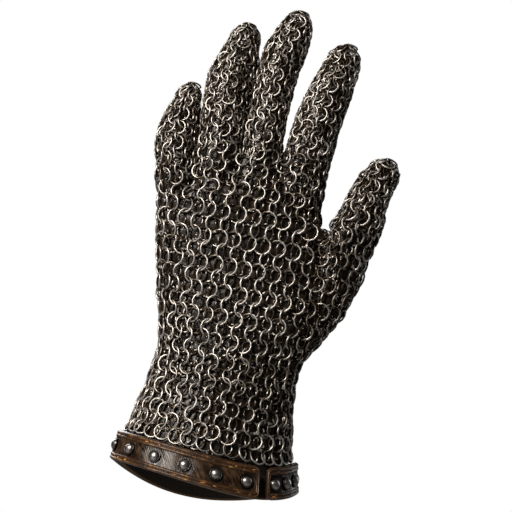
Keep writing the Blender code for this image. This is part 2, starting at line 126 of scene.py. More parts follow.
# Each finger's tube: height, centre x, centre y, half width, half depth
FINGERS = {
    "little": (
        (183, -53.8, 0.5, 12.1, 11.6),
        (197, -56.0, 1.6, 13.0, 12.0),
        (209, -56.0, 3.2, 12.4, 11.4),
        (219, -54.6, 5.2, 10.5, 10.2),
        (228, -53.2, 7.2, 8.8, 8.8),
    ),
    "ring": (
        (190, -27.8, 0.3, 13.6, 12.8),
        (212, -28.5, 1.2, 13.8, 13.1),
        (230, -29.0, 2.8, 14.3, 13.3),
        (245, -28.7, 5.0, 14.1, 13.0),
        (258, -26.9, 7.4, 12.3, 11.8),
        (269, -25.3, 9.4, 10.3, 10.0),
    ),
    "middle": (
        (203, -1.5, 0.2, 12.2, 13.0),
        (222, -1.6, 1.0, 12.2, 12.8),
        (240, -1.4, 2.6, 12.4, 12.6),
        (256, -0.3, 4.8, 12.7, 12.4),
        (270, 2.0, 7.2, 12.9, 12.2),
        (281, 4.5, 9.2, 11.4, 10.9),
    ),
    "index": (
        (200, 26.4, 0.2, 14.8, 13.4),
        (213, 27.4, 0.8, 15.3, 13.6),
        (226, 28.7, 1.8, 15.2, 13.6),
        (240, 31.3, 3.4, 14.7, 13.4),
        (252, 34.2, 5.2, 13.7, 12.8),
        (264, 36.9, 7.4, 11.9, 11.4),
    ),
    "thumb": (
        (163, 63.4, 4.0, 16.0, 15.4),
        (173, 66.1, 5.8, 15.2, 14.6),
        (184, 67.8, 8.0, 13.8, 13.5),
        (194, 70.6, 10.6, 12.9, 12.5),
        (202, 74.2, 13.0, 11.5, 11.4),
    ),
}
DOME_HEIGHT = {"little": 10.6, "ring": 12.8, "middle": 14.6, "index": 16.2, "thumb": 12.8}
ROOT_FADE = 0.45
ROOT_SHRINK = 0.3

# Columns of the fine surfaces. A finger's columns stand every 4.5 degrees round it, and number 0
# is its ulnar side, 20 the back, 40 its radial side and 60 the palm.
COLUMN_ANGLE = 4.5
FINGER_COLUMNS = 80
RADIAL_COLUMN = 40
THUMB_SHARE = np.linspace(0.0, 1.0, 33)
OVAL_THUMB_ANGLE = 50.0
PALM_WEB_ANGLE = 20.0
LOBE_ANGLE = 144.0
LITTLE_ROOT_ANGLE = 45.0     # the little finger's arc runs from the hand's edge to this angle

# Columns of the hand from its ulnar edge to the thumb's web. The little finger takes 30 of them
# and the others 24 each, over equal quarters of the way.
HAND_SPAN = {"little": (0, 30), "ring": (30, 54), "middle": (54, 78), "index": (78, 102)}
HAND_SHARE = np.concatenate([np.linspace(0.0, 0.25, 31), np.linspace(0.25, 1.0, 73)[1:]])

# Columns of each finger that the hand's rows give. Chords across the webs give the others.
BETWEEN_WEBS = (0, *range(8, 33), 40, *range(48, 73))
KNOWN_COLUMNS = {"little": (*range(31), 40, *range(50, 80)), "ring": BETWEEN_WEBS,
                 "middle": BETWEEN_WEBS, "index": BETWEEN_WEBS, "thumb": (0, *range(8, 73))}

# Columns that are free only above a web, and the back's first and last that are free below it
BOTH_WEBS = (*range(8), *range(33, 48), *range(73, 80))
WEB_COLUMNS = {"little": range(31, 50), "ring": BOTH_WEBS, "middle": BOTH_WEBS,
               "index": (*range(8), *range(73, 80))}
FREE_BACK = {"little": (0, 30), "ring": (8, 32), "middle": (8, 32), "index": (8, 32)}

# Rows of the leather glove: heights below the thumb's web, shares of the way from there to the
# fingers' roots, and climbs up a finger
LEATHER_HEIGHTS = np.concatenate([np.linspace(0.0, 16.0, 9), np.linspace(18.0, THUMB_WEB, 96)])
LEATHER_SHARES = np.linspace(0.0, 1.0, 28)
LEATHER_CLIMBS = np.concatenate([np.linspace(0.0, 1.0, 56), 1.0 + np.linspace(0.0, 0.96, 11)[1:]])

# Rows that the mail's own rows are read from: shares of the same way, climbs up a finger, and
# the points of one row with how often they are smoothed
MAIL_SHARES = np.linspace(0.0, 1.0, 16)
MAIL_CLIMBS = np.concatenate([np.linspace(0.0, 1.0, 60), np.linspace(1.02, 1.98, 12)])
LOOP_SAMPLES = 360
LOOP_PASSES = 14

# Mail: steel rings in rows half a pitch apart, each over two of the next row, as linked rings lie
RING_RADIUS = 5.4        # to the middle of the wire
WIRE = 1.35
FINE_WIRE = 1.2          # of the smallest rings
RING_PITCH = 9.2         # along a row
SIDE_PITCH = 7.8         # the mail closes up round the sides of the hand
SIDE_SHARE = 0.18        # and does so over this share of its width
UNDER_DEPTH = 1.7        # a second layer of rings backs the first, this much deeper
UNDER_SHADE = 1.0         # and is painted this much darker, as shade under the first
UNDER_WIRE = 0.85        # its wire is this share as thick
RING_TILT = 18.0         # rows lean by turns to the one side and to the other
FINGER_TILT = 0.6        # the smallest rings lean this share as much
RING_SINK = 0.8          # the whole mail lies this deep
RING_DEPTH = 1.15        # and where it is loose, the rings' centres lie this much deeper
RING_HUG = 0.6           # and, where the glove is round, deeper by this share of their sag
SIDE_FLATTEN = 0.6       # the mail is pulled flat and tight round the sides
FINGER_RING = 0.78       # the fingers' rings are this share as large as the hand's
FINGER_EASE = 26.0       # and shrink to that over this length
FINGER_CLOSE = 0.98      # they stand at this share of the pitch that goes with their size
FINGER_ROW = 6.2         # from row to row, for a ring of the hand's size
ROOT_RISE = 3.0          # the hand's own rows end this far over the highest web
# How far a finger's mail bulges on its ulnar and on its radial side, where it rests on the next
PRESSED = {"little": (0.0, 1.3), "ring": (1.3, 1.3), "middle": (1.3, 0.0), "index": (0.0, 0.0),
           "thumb": (0.0, 0.0)}
PRESS_START = 0.6        # from this share of the way out to the side
PRESS_FADE = (0.8, 0.3)  # it fades from this share of the finger's length, over this one
CLIMB_STEP = 0.02        # of a finger's length, over which the way up it is measured
TUBE_STEPS = 81
DOME_STEPS = 31
RING_STEPS = 12
WIRE_SIDES = 5
PLACE_JITTER = (0.4, 0.8)    # even mail, then loose mail
TILT_JITTER = (6.0, 11.0)
NOD_JITTER = (6.0, 11.0)
DEPTH_JITTER = (0.1, 0.3)
SIZE_JITTER = 0.05
# Height, distance from one row to the next, and the rings' size
ROW_TABLE = (
    (20, 6.9, 0.96),
    (70, 6.9, 0.94),
    (100, 7.9, 1.00),
    (140, 8.7, 1.00),
    (160, 8.5, 1.00),
    (175, 6.6, 0.87),
    (210, 6.0, 0.80),
)
EVEN_MIDDLE = (4.0, 128.0)   # the mail lies even round here on the back of the hand
EVEN_REACH = (44.0, 58.0)
EVEN_START = 0.5             # and gets loose between these shares of that reach
EVEN_END = 1.0
STRAIGHT_RINGS = 40          # straight columns are counted this far to either side
# Height of the lowest row, whose rings reach down to the strap
FIRST_MAIL_HEIGHT = 23.0
HEM_ROWS = 3.0           # rows over which the rings lie flatter towards the strap
HEM_FLATTEN = 0.4
HEM_NOD = 12.0           # the last row swings out over the strap
RUB_AND_SHADE_START = 0.3          # handling rubs the wire bright from this far over the ring's centre, and the deeper wire is painted dark as shade; the wire is fully bright this much further out
RUB_AND_SHADE_RISE = 1.5           # and fully this much further out
FOOT_RUB = 0.5           # a ring's foot on even rows is rubbed as if it stood out this much more
HEM_RUB = 0.45           # the mail is rubbed more towards the strap
MIDDLE_RUB = 0.2         # and over the middle of the back
THUMB_SHADE = 0.36        # painted shade darkens the thumb's side of the hand by this much
SHADE_START = 8.0         # from this x on
SHADE_REACH = 34.0
SHADE_HEIGHT = 130.0      # and above this height further out, by this share of what is above it
SHADE_LEAN = 0.9
FINGER_SHADE = 0.35       # and painted shade darkens the fingers' sides towards it, and its side towards them
FINGER_SHADE_TURN = (0.1, 0.6)    # where the mail has turned this far
CROOK_SHADE = 0.5         # painted shade lies thick in the crook of the thumb, on a line that runs down from the notch, leaning out this much
CROOK_LEAN = 0.24        # from the notch, leaning out this much
CROOK_REACH = 6.0
CROOK_LENGTH = 38.0
TONE_JITTER = 0.12       # and every ring is a little more or less rubbed
# Height at which each length of the hand's mail ends
LENGTH_ENDS = {"cuff": 53.0, "wrist": 92.0, "palm": 500.0}

# Cuff strap, open at a slot on the back of the hand near the thumb
STRAP_FOOT = -1.0
STRAP_TOP = 17.4
SLOT_MIDDLE_X = 34.5
SLOT_WIDTH = 5.8
STRAP_MIDDLE = (STRAP_FOOT + STRAP_TOP) / 2
CUFF_STEPS = 720         # round the cuff, over which the distance along the strap is measured
STRAP_COLUMNS = 400
STRAP_ROWS = 21
STRAP_SWELL = 0.1        # beyond its thickness
DENT_DEPTH = 0.12        # it has shallow dents, 38 mm long and 25 mm high from crest to crest
DENT_LENGTH = 6.1
DENT_HEIGHT = 4.0
WAVE_DEPTH = 0.1         # and waves, 92 mm long
WAVE_LENGTH = 14.7
WAVE_START = 1.0
DIP_DEPTH = 0.3          # a rivet draws it in by this much
DIP_REACH = 2.0
DIRT_REACH = 0.6         # and dirt lies round the rivet over this much
BINDING_CORNER = 4.0     # radius of the corners of its outer edge
INNER_CORNER = 0.3       # and the least height of its inner edge's corners
END_SHARE = 0.5          # the binding is this share as wide across the ends of the strap
BINDING_COLUMNS = 220
BUCKLE_DEPTH = 0.12      # the binding buckles, by the product of a short wave and a long one
BUCKLE_SHORT = 3.3
BUCKLE_LONG = 7.9
BUCKLE_FROM = 2.0        # only this far outside the mail
CREST_FROM = 2.6         # and is rubbed from here outwards
CREST_RISE = 0.7
CORNER_STEPS = 6
STRAP_INSET = 1.2        # the strap's own edge lies this far inside its binding

# The binding's section: how far inside the strap's edge, and how far outside the mail
BINDING_SECTION = (
    (0.5, 0.4), (0.1, 0.9), (0.0, 1.7), (0.2, 2.5), (0.7, 3.15), (1.25, 3.4), (1.8, 3.2),
    (2.1, 2.75), (2.4, 2.75), (2.75, 3.1), (3.25, 3.3), (3.8, 3.15), (4.25, 2.8), (4.35, 2.45),
    (3.0, 1.4),
)

# Thread of the running stitch along the binding's groove
FOOT_STITCH_PITCH = 7.6
TOP_STITCH_PITCH = 12.0
STITCH_LENGTH = 3.6
CROSS_STITCHES = 0.12    # the share of stitches that catch the edge square across it
CROSS_LENGTH = 2.0
CROSS_SLANT = 80.0       # degrees
STITCH_SLANT = 0.15      # radians, either way
STITCH_SPREAD = (0.5, 1.5)   # its length varies between these shares
STITCH_SHIFT = 0.2       # of the pitch, either way
STITCH_MARGIN = 6.0      # none is this close to the slot
STITCH_INSET = 2.25
STITCH_LIFT = 2.9
STITCH_DIVE = 0.9
STITCH_STEPS = 7
THREAD = 0.8
THREAD_SPAN = 0.96       # it thins towards its ends as a cosine over this share of a half turn
THREAD_BLUNT = 0.35      # to this power
THREAD_SIDES = 6

# Rivets
RIVET_RADIUS = 4.1
MAIN_RIVET_PITCH = 20.0
TAB_RIVET_PITCH = 10.8
MAIN_RIVETS = 14
TAB_RIVETS = 3
SLOT_TO_MAIN_RIVET = 11.4
SLOT_TO_TAB_RIVET = 9.2
RIVET_STEPS = 28

# A rivet's profile: distance from its middle, height over the strap, and polish
RIVET_SECTION = (
    (0.0, 2.4, 1.0), (0.9, 2.3, 1.0), (1.7, 2.02, 0.95), (2.4, 1.62, 0.85), (2.95, 1.12, 0.7),
    (3.3, 0.62, 0.45), (3.42, 0.32, 0.1), (3.5, 0.3, 0.0), (3.6, 0.52, 0.35), (3.8, 0.56, 0.5),
    (4.0, 0.4, 0.2), (4.1, -0.3, 0.0), (0.0, -0.3, 0.0),
)

# Studio, in metres and watts. Each light has a place, a size, a power and a colour
FLOOR_SIZE = 8.0
FLOOR_LEVEL = -0.6
CAMERA_AIM = Vector((6.15, 0.0, 138.6)) * MM
CAMERA_DISTANCE = 3.0
CAMERA_RISE = np.radians(-4.0)
CAMERA_ROLL = np.radians(10.5)
CAMERA_FIELD = 0.3174
LIGHT_AIM = Vector((0.0, 0.0, 0.14))
LIGHTS = {
    "key_softbox": ((-0.78, -0.94, 0.75), 0.45, 25.5, "#fff8f0"),
    "low_fill": ((-0.95, -0.86, -0.24), 0.3, 0.7, "#ffffff"),
    "back_softbox": ((-0.5, 1.2, 0.8), 0.8, 14.0, "#ffffff"),
    "side_softbox": ((1.0, 0.9, 0.6), 0.8, 3.0, "#ffffff"),
}


# ---------------------------------------------------------------- master surface

def smoothstep(share):
    """Ease from 0 to 1."""
    share = np.clip(share, 0.0, 1.0)
    return share * share * (3.0 - 2.0 * share)


def unit(vectors):
    """Vectors of length one."""
    return vectors / np.maximum(np.linalg.norm(vectors, axis=-1, keepdims=True), 1e-9)


def read_table(table, at):
    """A table's other columns at any array of values of its first, along smooth cubic curves."""
    rows = np.array(table, dtype=float)
    keys, values = rows[:, 0], rows[:, 1:]
    slopes = np.gradient(values, keys, axis=0)
    at = np.asarray(at, dtype=float)
    low = np.clip(np.searchsorted(keys, at) - 1, 0, len(keys) - 2)
    step = keys[low + 1] - keys[low]
    share = (at - keys[low]) / step
    ease = (share * share * (3.0 - 2.0 * share))[..., None]
    leave = (share * (1.0 - share) ** 2 * step)[..., None]
    arrive = (share * share * (share - 1.0) * step)[..., None]
    found = (values[low] * (1.0 - ease) + values[low + 1] * ease
             + slopes[low] * leave + slopes[low + 1] * arrive)
    return np.moveaxis(found, -1, 0)


def arc_between(start, end, turn):
    """x and rise along an ellipse's arc, turned by these angles, that runs from start to end."""
    share = (np.cos(turn[0]) - np.cos(turn)) / (np.cos(turn[0]) - np.cos(turn[-1]))
    return start + (end - start) * share, np.sin(turn)


def rim_dip(height, turn):
    """How far a point lies below its nominal height, at an angle from the thumb's side.

    On the back and on the palm this is a power of the angle's sine times an exponential of
    its cosine. Both fade out up the wrist.
    """
    across = np.sin(turn)
    back = np.clip(across, 0.0, 1.0) ** RIM_DIP_ROUND * np.exp(BACK_DIP_LEAN * np.cos(turn))
    palm = np.clip(-across, 0.0, 1.0) ** 2 * np.exp(PALM_DIP_LEAN * np.cos(turn))
    fade = 1.0 - smoothstep((height - STRAP_FOOT) / (RIM_DIP_END - STRAP_FOOT))
    return fade * (RIM_DIP_BACK * back + RIM_DIP_PALM * palm)


def lower_halves(heights, outward=0.0):
    """Back and palm of the hand below the thumb's web, as rows of points at these heights.

    Each row is an oval, x by the cosine of an angle and y by its sine to the power of the
    fullness, and it eases into two ovals side by side, the palm's and the thumb's.
    """
    height = np.atleast_1d(heights)[:, None]
    outward = np.broadcast_to(outward, height.shape[:1])[:, None]
    ulnar, radial, back, palm, fullness = read_table(LOWER_HAND, height)
    ulnar, radial, back, palm = ulnar - outward, radial + outward, back + outward, palm + outward
    turn = np.radians(np.concatenate([
        180.0 - (180.0 - OVAL_THUMB_ANGLE) * HAND_SHARE,
        OVAL_THUMB_ANGLE * (1.0 - THUMB_SHARE[1:])]))
    oval_x = (ulnar + radial) / 2 + (radial - ulnar) / 2 * np.cos(turn)
    oval_rise = np.clip(np.sin(turn), 0.0, 1.0) ** fullness
    palm_turn = np.radians(180.0 - (180.0 - PALM_WEB_ANGLE) * HAND_SHARE)
    palm_x, palm_rise = arc_between(ulnar, THUMB_WEB_X, palm_turn)
    palm_rise = np.clip(palm_rise, 0.0, 1.0) ** fullness
    thumb_turn = np.radians(LOBE_ANGLE * (1.0 - THUMB_SHARE))
    thumb_x, thumb_rise = arc_between(THUMB_WEB_X, radial, thumb_turn)
    thumb_x, thumb_rise = thumb_x[:, 1:], np.broadcast_to(thumb_rise[1:], thumb_x[:, 1:].shape)
    forward = THUMB_FORWARD * (thumb_x - THUMB_WEB_X) / (radial - THUMB_WEB_X)
    part = smoothstep((height - THUMB_PARTING) / (THUMB_WEB - THUMB_PARTING))
    parted_x = np.concatenate([palm_x, thumb_x], axis=1)
    parted_back = np.concatenate([-back * palm_rise, forward - THUMB_DEPTH * thumb_rise], axis=1)
    parted_palm = np.concatenate([palm * palm_rise, forward + THUMB_DEPTH * thumb_rise], axis=1)
    x = oval_x + part * (parted_x - oval_x)
    y_back = -back * oval_rise + part * (parted_back + back * oval_rise)
    y_palm = palm * oval_rise + part * (parted_palm - palm * oval_rise)
    return (np.stack([x, y_back, height - rim_dip(height, turn)], axis=2),
            np.stack([x, y_palm, height - rim_dip(height, -turn)], axis=2))


def root_halves():
    """x, rise and height of the four finger roots along the hand's top edge, arc by arc."""
    x, rise, height = [], [], []
    for name, (start, end, low, high, depth) in ROOTS.items():
        first, last = HAND_SPAN[name]
        begin, finish = LOBE_ANGLE, 180.0 - LOBE_ANGLE
        if name == "little":
            begin, finish = 180.0, LITTLE_ROOT_ANGLE
        turn = np.radians(np.linspace(begin, finish, last - first + 1))
        arc_x, arc_rise = arc_between(start, end, turn)
        skip = 0 if name == "little" else 1
        x.append(arc_x[skip:])
        rise.append(depth * arc_rise[skip:])
        height.append(np.linspace(low, high, last - first + 1)[skip:])
    return np.concatenate(x), np.concatenate(rise), np.concatenate(height)


def upper_halves(shares):
    """Back, palm and radial side of the hand above the thumb's web, as rows of points.

    Each row is an oval that eases into the four arcs of the finger roots as its share of the
    way up to them goes to one.
    """
    share = np.atleast_1d(shares)[:, None]
    ulnar, radial, back, palm = read_table(UPPER_HAND, share)
    root_x, root_rise, root_height = root_halves()
    turn = np.radians(180.0 - (180.0 - PALM_WEB_ANGLE) * HAND_SHARE)
    oval_x, oval_rise = arc_between(ulnar, radial, turn)
    oval_rise = np.clip(oval_rise, 0.0, 1.0) ** UPPER_FULLNESS
    part = smoothstep((share - LOBE_START) / (1.0 - LOBE_START))
    x = oval_x + part * (root_x - oval_x)
    y_back = -back * oval_rise + part * (back * oval_rise - root_rise)
    y_palm = palm * oval_rise + part * (root_rise - palm * oval_rise)
    z = THUMB_WEB + share * (root_height - THUMB_WEB)
    side = np.stack([
        x[:, -1] + RADIAL_BULGE * smoothstep(share[:, 0] / BULGE_SHARE),
        (y_back[:, -1] + y_palm[:, -1]) / 2 * (1.0 - share[:, 0]),
        THUMB_WEB + share[:, 0] * (RADIAL_ROOT - THUMB_WEB) - WEB_DIP * (1.0 - share[:, 0])], axis=1)
    return np.stack([x, y_back, z], axis=2), np.stack([x, y_palm, z], axis=2), side


def web_middle(back, palm):
    """The low middle of a web, between a point of the back and its partner of the palm."""
    return (back + palm) / 2 - np.array([0.0, 0.0, WEB_DIP])


def round_finger(name, back, palm, ulnar_side, radial_side):
    """Rows of points once round a finger from the hand's rows, by chords across its webs."""
    if name == "little":
        points = [back, radial_side[:, None], palm[:, :0:-1]]
    elif name == "thumb":
        points = [ulnar_side[:, None], back, palm[:, -2::-1]]
    else:
        points = [ulnar_side[:, None], back, radial_side[:, None], palm[:, ::-1]]
    known = np.concatenate(points, axis=1)
    columns, every = np.array(KNOWN_COLUMNS[name]), np.arange(FINGER_COLUMNS)
    before = np.searchsorted(columns, every, side="right") - 1
    after = (before + 1) % len(columns)
    gap = (columns[after] - columns[before]) % FINGER_COLUMNS
    share = ((every - columns[before]) / np.maximum(gap, 1))[:, None]
    return known[:, before] * (1.0 - share) + known[:, after] * share


def hand_below_finger(name, shares):
    """The hand's own rows under a finger, from the thumb's web to the finger's root."""
    if name == "thumb":
        back, palm = lower_halves(THUMB_WEB)
        first = len(HAND_SHARE) - 1
        back, palm = back[:, first:], palm[:, first:]
        return round_finger(name, back, palm, web_middle(back[:, 0], palm[:, 0]), None)
    back, palm, side = upper_halves(shares)
    first, last = HAND_SPAN[name]
    back, palm = back[:, first:last + 1], palm[:, first:last + 1]
    radial_side = side if name == "index" else web_middle(back[:, -1], palm[:, -1])
    return round_finger(name, back, palm, web_middle(back[:, 0], palm[:, 0]), radial_side)


def finger_tube(name, climbs):
    """Rows of a plain finger: climb 0 is its root, 1 the foot of its dome, 2 its tip.

    A row is an ellipse square to the finger's axis. On the dome its radii shrink by a cosine
    while its middle moves on by a sine.
    """
    climb = np.atleast_1d(climbs)[:, None]
    share = np.clip(climb, 0.0, 1.0)
    dome = np.radians(90.0 * np.clip(climb - 1.0, 0.0, 1.0))
    table = FINGERS[name]
    height = table[0][0] + share * (table[-1][0] - table[0][0])
    x, y, width, depth = read_table(table, height)
    beyond_x, beyond_y, _, _ = read_table(table, height + NEAR)
    ahead = unit(np.stack([beyond_x - x, beyond_y - y, np.ones_like(x)], axis=2))
    side = unit(np.stack([ahead[..., 2], 0.0 * x, -ahead[..., 0]], axis=2))
    rear = np.cross(ahead, side)
    turn = np.radians(180.0 - COLUMN_ANGLE * np.arange(FINGER_COLUMNS))
    climbed = ahead * (DOME_HEIGHT[name] * np.sin(dome))[..., None]
    middle = np.stack([x, y, height], axis=2) + climbed
    return (middle + (width * np.cos(dome) * np.cos(turn))[..., None] * side
            - (depth * np.cos(dome) * np.sin(turn))[..., None] * rear)


def finger_rows(name, climbs):
    """Rows of points round a finger, eased near the root into the outline it grows from.

    What the outline adds fades by the square of the distance that is left to where it ends.
    """
    rows = finger_tube(name, climbs)
    share = np.clip(np.atleast_1d(climbs), 0.0, 1.0)[:, None, None]
    root = hand_below_finger(name, 1.0)[0]
    root = root - unit(root - root.mean(axis=0)) * ROOT_SHRINK
    fade = np.clip(1.0 - share / ROOT_FADE, 0.0, 1.0) ** 2
    return rows + (root - finger_tube(name, 0.0)[0]) * fade


# ---------------------------------------------------------------- rows of rings

def even_loop(points, up):
    """A closed row resampled at even distances, with its corners rounded."""
    closed = np.concatenate([points, points[:1]])
    lengths = np.concatenate([[0.0], np.cumsum(np.linalg.norm(np.diff(closed, axis=0), axis=1))])
    at = np.linspace(0.0, lengths[-1], LOOP_SAMPLES, endpoint=False)
    up = np.concatenate([up, up[:1]])
    both = np.concatenate([closed, up], axis=1)
    even = np.stack([np.interp(at, lengths, column) for column in both.T], axis=1)
    for _ in range(LOOP_PASSES):
        even = (np.roll(even, 1, axis=0) + 2.0 * even + np.roll(even, -1, axis=0)) / 4.0
    return even[:, :3], unit(even[:, 3:])


def sites_on(points, up, at, length):
    """Places on an even loop, with the way along it, up the glove and outwards.

    Where the loop is round, a place moves in by a share of its sag, its height over the chord
    between the points one ring's radius before and after it.
    """
    samples = len(points)
    index = at / length * samples
    low = np.floor(index).astype(int)
    share = (index - low)[:, None]
    here, after = low % samples, (low + 1) % samples
    place = points[here] * (1.0 - share) + points[after] * share
    along = unit(points[(low + 2) % samples] - points[(low - 1) % samples])
    outward = unit(np.cross(along, up[here]))
    reach = round(RING_RADIUS / length * samples)
    chord = (points[(low - reach) % samples] + points[(low + reach) % samples]) / 2.0
    sag = ((place - chord) * outward).sum(axis=1, keepdims=True)
    return place - RING_HUG * sag * outward, along, np.cross(outward, along), outward


def straight_places(x, radial, back, palm, length, offset):
    """Distances along the hand's row, from its ulnar edge, for rings in straight columns.

    On the back and on the palm they keep one pitch from the anchors there, and the two sides
    of the hand take what is left at a closer pitch.
    """
    scale = length / len(x)
    margin = SIDE_SHARE * np.ptp(x)
    steps = np.arange(-STRAIGHT_RINGS, STRAIGHT_RINGS) + offset
    front, rear = back + steps * RING_PITCH, palm - steps[::-1] * RING_PITCH
    front = front[(front > 0.0) & (front < (radial - 1) * scale)]
    rear = rear[(rear > radial * scale) & (rear < length)]
    middles = []
    for line in (front, rear):
        across = x[(line / scale).astype(int) % len(x)]
        middles.append(line[(across > x.min() + margin) & (across < x.max() - margin)])
    front, rear = middles
    sides = []
    for begin, end in ((front[-1], rear[0]), (rear[-1], front[0] + length)):
        count = max(1, round((end - begin) / SIDE_PITCH))
        sides.append(np.linspace(begin, end, count + 1)[1:-1])
    return np.concatenate([front, sides[0], rear, sides[1]])


def ring_sites(loop, row, size):
    """Where the rings of one row stand, half a pitch on in every other row.

    A loop is its points, the way up at each, the x to count from, and whether its columns run
    straight, as the hand's do. A finger's rings share out its whole round.
    """
    points, up, anchor_x, straight = loop
    points, up = even_loop(points, up)
    length = np.linalg.norm(points - np.roll(points, -1, axis=0), axis=1).sum()
    scale = length / len(points)
    offset = 0.5 * (row % 2)
    ulnar = np.argmin(points[:, 0])
    start = ulnar * scale
    x = np.roll(points[:, 0], -ulnar)
    radial = np.argmax(x)
    back = np.interp(anchor_x, x[:radial], np.arange(radial)) * scale
    palm = length - np.interp(anchor_x, x[radial:][::-1], np.arange(len(x) - radial)) * scale
    if straight:
        at = start + straight_places(x, radial, back, palm, length, offset)
    else:
        count = max(1, round(length / (RING_PITCH * size * FINGER_CLOSE)))
        at = start + back + (np.arange(count) + offset) * length / count
    return sites_on(points, up, at, length)


def sag_at_web(points, height):
    """Let a row hang down into the notch beside the thumb, by a bell curve of the distance."""
    near = np.exp(-((points[:, 0] - THUMB_WEB_X) / WEB_SAG_REACH) ** 2)
    sag = WEB_SAG * smoothstep(1.0 - (THUMB_WEB - height) / WEB_SAG_FADE) * near
    return points - sag[:, None] * np.array([0.0, 0.0, 1.0])


def press_sides(points, first, last, share=1.0):
    """Swell a row towards the fingers that its first and its last finger rest against.

    The swelling follows an easing curve of the way out to the side.
    """
    ulnar, radial = points[:, 0].min(), points[:, 0].max()
    side = (2.0 * points[:, 0] - ulnar - radial) / (radial - ulnar)
    swell = (PRESSED[last][1] * smoothstep((side - PRESS_START) / (1.0 - PRESS_START))
             - PRESSED[first][0] * smoothstep((-side - PRESS_START) / (1.0 - PRESS_START)))
    return points + share * swell[:, None] * np.array([1.0, 0.0, 0.0])


def closed_row(back, palm):
    """One closed row from a row of the back and a row of the palm that share their ends."""
    return np.concatenate([back, palm[-2:0:-1]])


def add_rings(rows, row, size, hem, loop):
    """Add a row of rings along a loop and, half a pitch on, the rings that back it."""
    for under in (0, 1):
        sites = ring_sites(loop, row + under, size)
        lean = 1.0 - 2.0 * ((row + under) % 2)
        rows.append((np.tile((lean, hem, size, under), (len(sites[0]), 1)), *sites))


def row_heights():
    """Heights of the rows: from the thumb's web down to the strap, and up to the fingers."""
    down, up = [THUMB_WEB], [THUMB_WEB]
    while down[-1] > FIRST_MAIL_HEIGHT:
        down.append(down[-1] - float(read_table(ROW_TABLE, down[-1])[0]))
    while up[-1] < max(ROOTS["middle"][2:4]) + ROOT_RISE:
        up.append(up[-1] + float(read_table(ROW_TABLE, up[-1])[0]))
    stretch = (THUMB_WEB - FIRST_MAIL_HEIGHT) / (THUMB_WEB - down[-1])
    return THUMB_WEB - (THUMB_WEB - np.array(down[::-1])) * stretch, np.array(up[1:])


def lower_ring_rows(row_sites):
    """Rows of rings from the strap up to the thumb's web."""
    heights = row_heights()[0]
    for number, height in enumerate(heights):
        row = number + 1 - len(heights)
        halves = lower_halves([height - NEAR, height, height + NEAR])
        below, points, above = (closed_row(back, palm) for back, palm in zip(*halves))
        part = next(name for name, end in LENGTH_ENDS.items() if height < end)
        hem = max(0.0, 1.0 - number / HEM_ROWS)
        size = float(read_table(ROW_TABLE, height)[1])
        loop = (sag_at_web(points, height), unit(above - below), 0.0, True)
        add_rings(row_sites[part], row, size, hem, loop)


def finger_columns(name):
    """Columns of points up a finger from the thumb's web to its tip, and where each is free.

    A column between two fingers is free only above its web.
    """
    hand = hand_below_finger(name, MAIL_SHARES)
    tube = finger_rows(name, MAIL_CLIMBS)
    free = np.full(FINGER_COLUMNS, THUMB_WEB)
    web = list(WEB_COLUMNS[name])
    free[web] = tube[0, web, 2]
    return np.concatenate([hand[:-1], tube]), free


def level_row(columns, level):
    """Where a finger's columns cross a level, and the way that they climb there."""
    low = np.clip((columns[..., 2] < level).sum(axis=0) - 1, 0, len(columns) - 2)
    index = np.arange(columns.shape[1])
    below, above = columns[low, index], columns[low + 1, index]
    share = (level - below[:, 2]) / np.maximum(above[:, 2] - below[:, 2], 1e-6)
    return below + (above - below) * np.clip(share, 0.0, 1.0)[:, None], unit(above - below)


def joined_fingers(level):
    """The fingers in groups that mail goes round together: a web below the level parts them."""
    groups = [[]]
    for name, root in ROOTS.items():
        groups[-1].append(name)
        if root[3] < level:
            groups.append([])
    return [group for group in groups if group]


def row_round(group, columns, level):
    """The row round a group of fingers at a level, as points, ways up and the back's middle x."""
    back, palm = [], []
    for name in group:
        grid, free_from = columns[name]
        both = np.concatenate(level_row(grid, level), axis=1)
        first, final = FREE_BACK[name]
        first = 0 if name == group[0] else first
        final = RADIAL_COLUMN if name == group[-1] else final
        span = np.arange(first, final + 1)
        rear = -span % FINGER_COLUMNS
        free = free_from <= level
        back.append(both[span[free[span]]])
        palm.append(both[rear[free[rear]]])
    back, palm = np.concatenate(back), np.concatenate(palm)
    row = closed_row(back, palm)
    return row[:, :3], row[:, 3:], back[:, 0].mean()


def upper_ring_rows(row_sites):
    """Rows of rings over the palm from the thumb's web to where the fingers part.

    It gives the number and the height of the last row that each finger has a part in.
    """
    columns = {name: finger_columns(name) for name in ROOTS}
    top = {name: max(root[2:4]) + ROOT_RISE for name, root in ROOTS.items()}
    last = {}
    for row, level in enumerate(row_heights()[1], start=1):
        size = float(read_table(ROW_TABLE, level)[1])
        for group in joined_fingers(level):
            if level >= max(top[name] for name in group):
                continue
            points, up, middle = row_round(group, columns, level)
            wide = len(group) > 1
            anchor = 0.0 if len(group) > 2 else middle
            loop = (press_sides(points, group[0], group[-1]), up, anchor, wide)
            add_rings(row_sites["palm" if wide else group[0]], row, size, 0.0, loop)
        last.update({name: (row, level) for name in ROOTS if level < top[name]})
    return last


def finger_row_places(length, first):
    """How far up a finger each row of rings stands, and how large its rings are.

    From this first size they shrink by an easing curve of the distance, and each row is
    followed by the next at a distance that goes with its rings' size.
    """
    reach, places, sizes = 0.0, [], []
    while reach < length - FINGER_ROW * FINGER_RING / 2:
        sizes.append(first - (first - FINGER_RING) * smoothstep(reach / FINGER_EASE))
        reach += FINGER_ROW * sizes[-1]
        places.append(reach)
    return np.array(places) * (length / reach), sizes


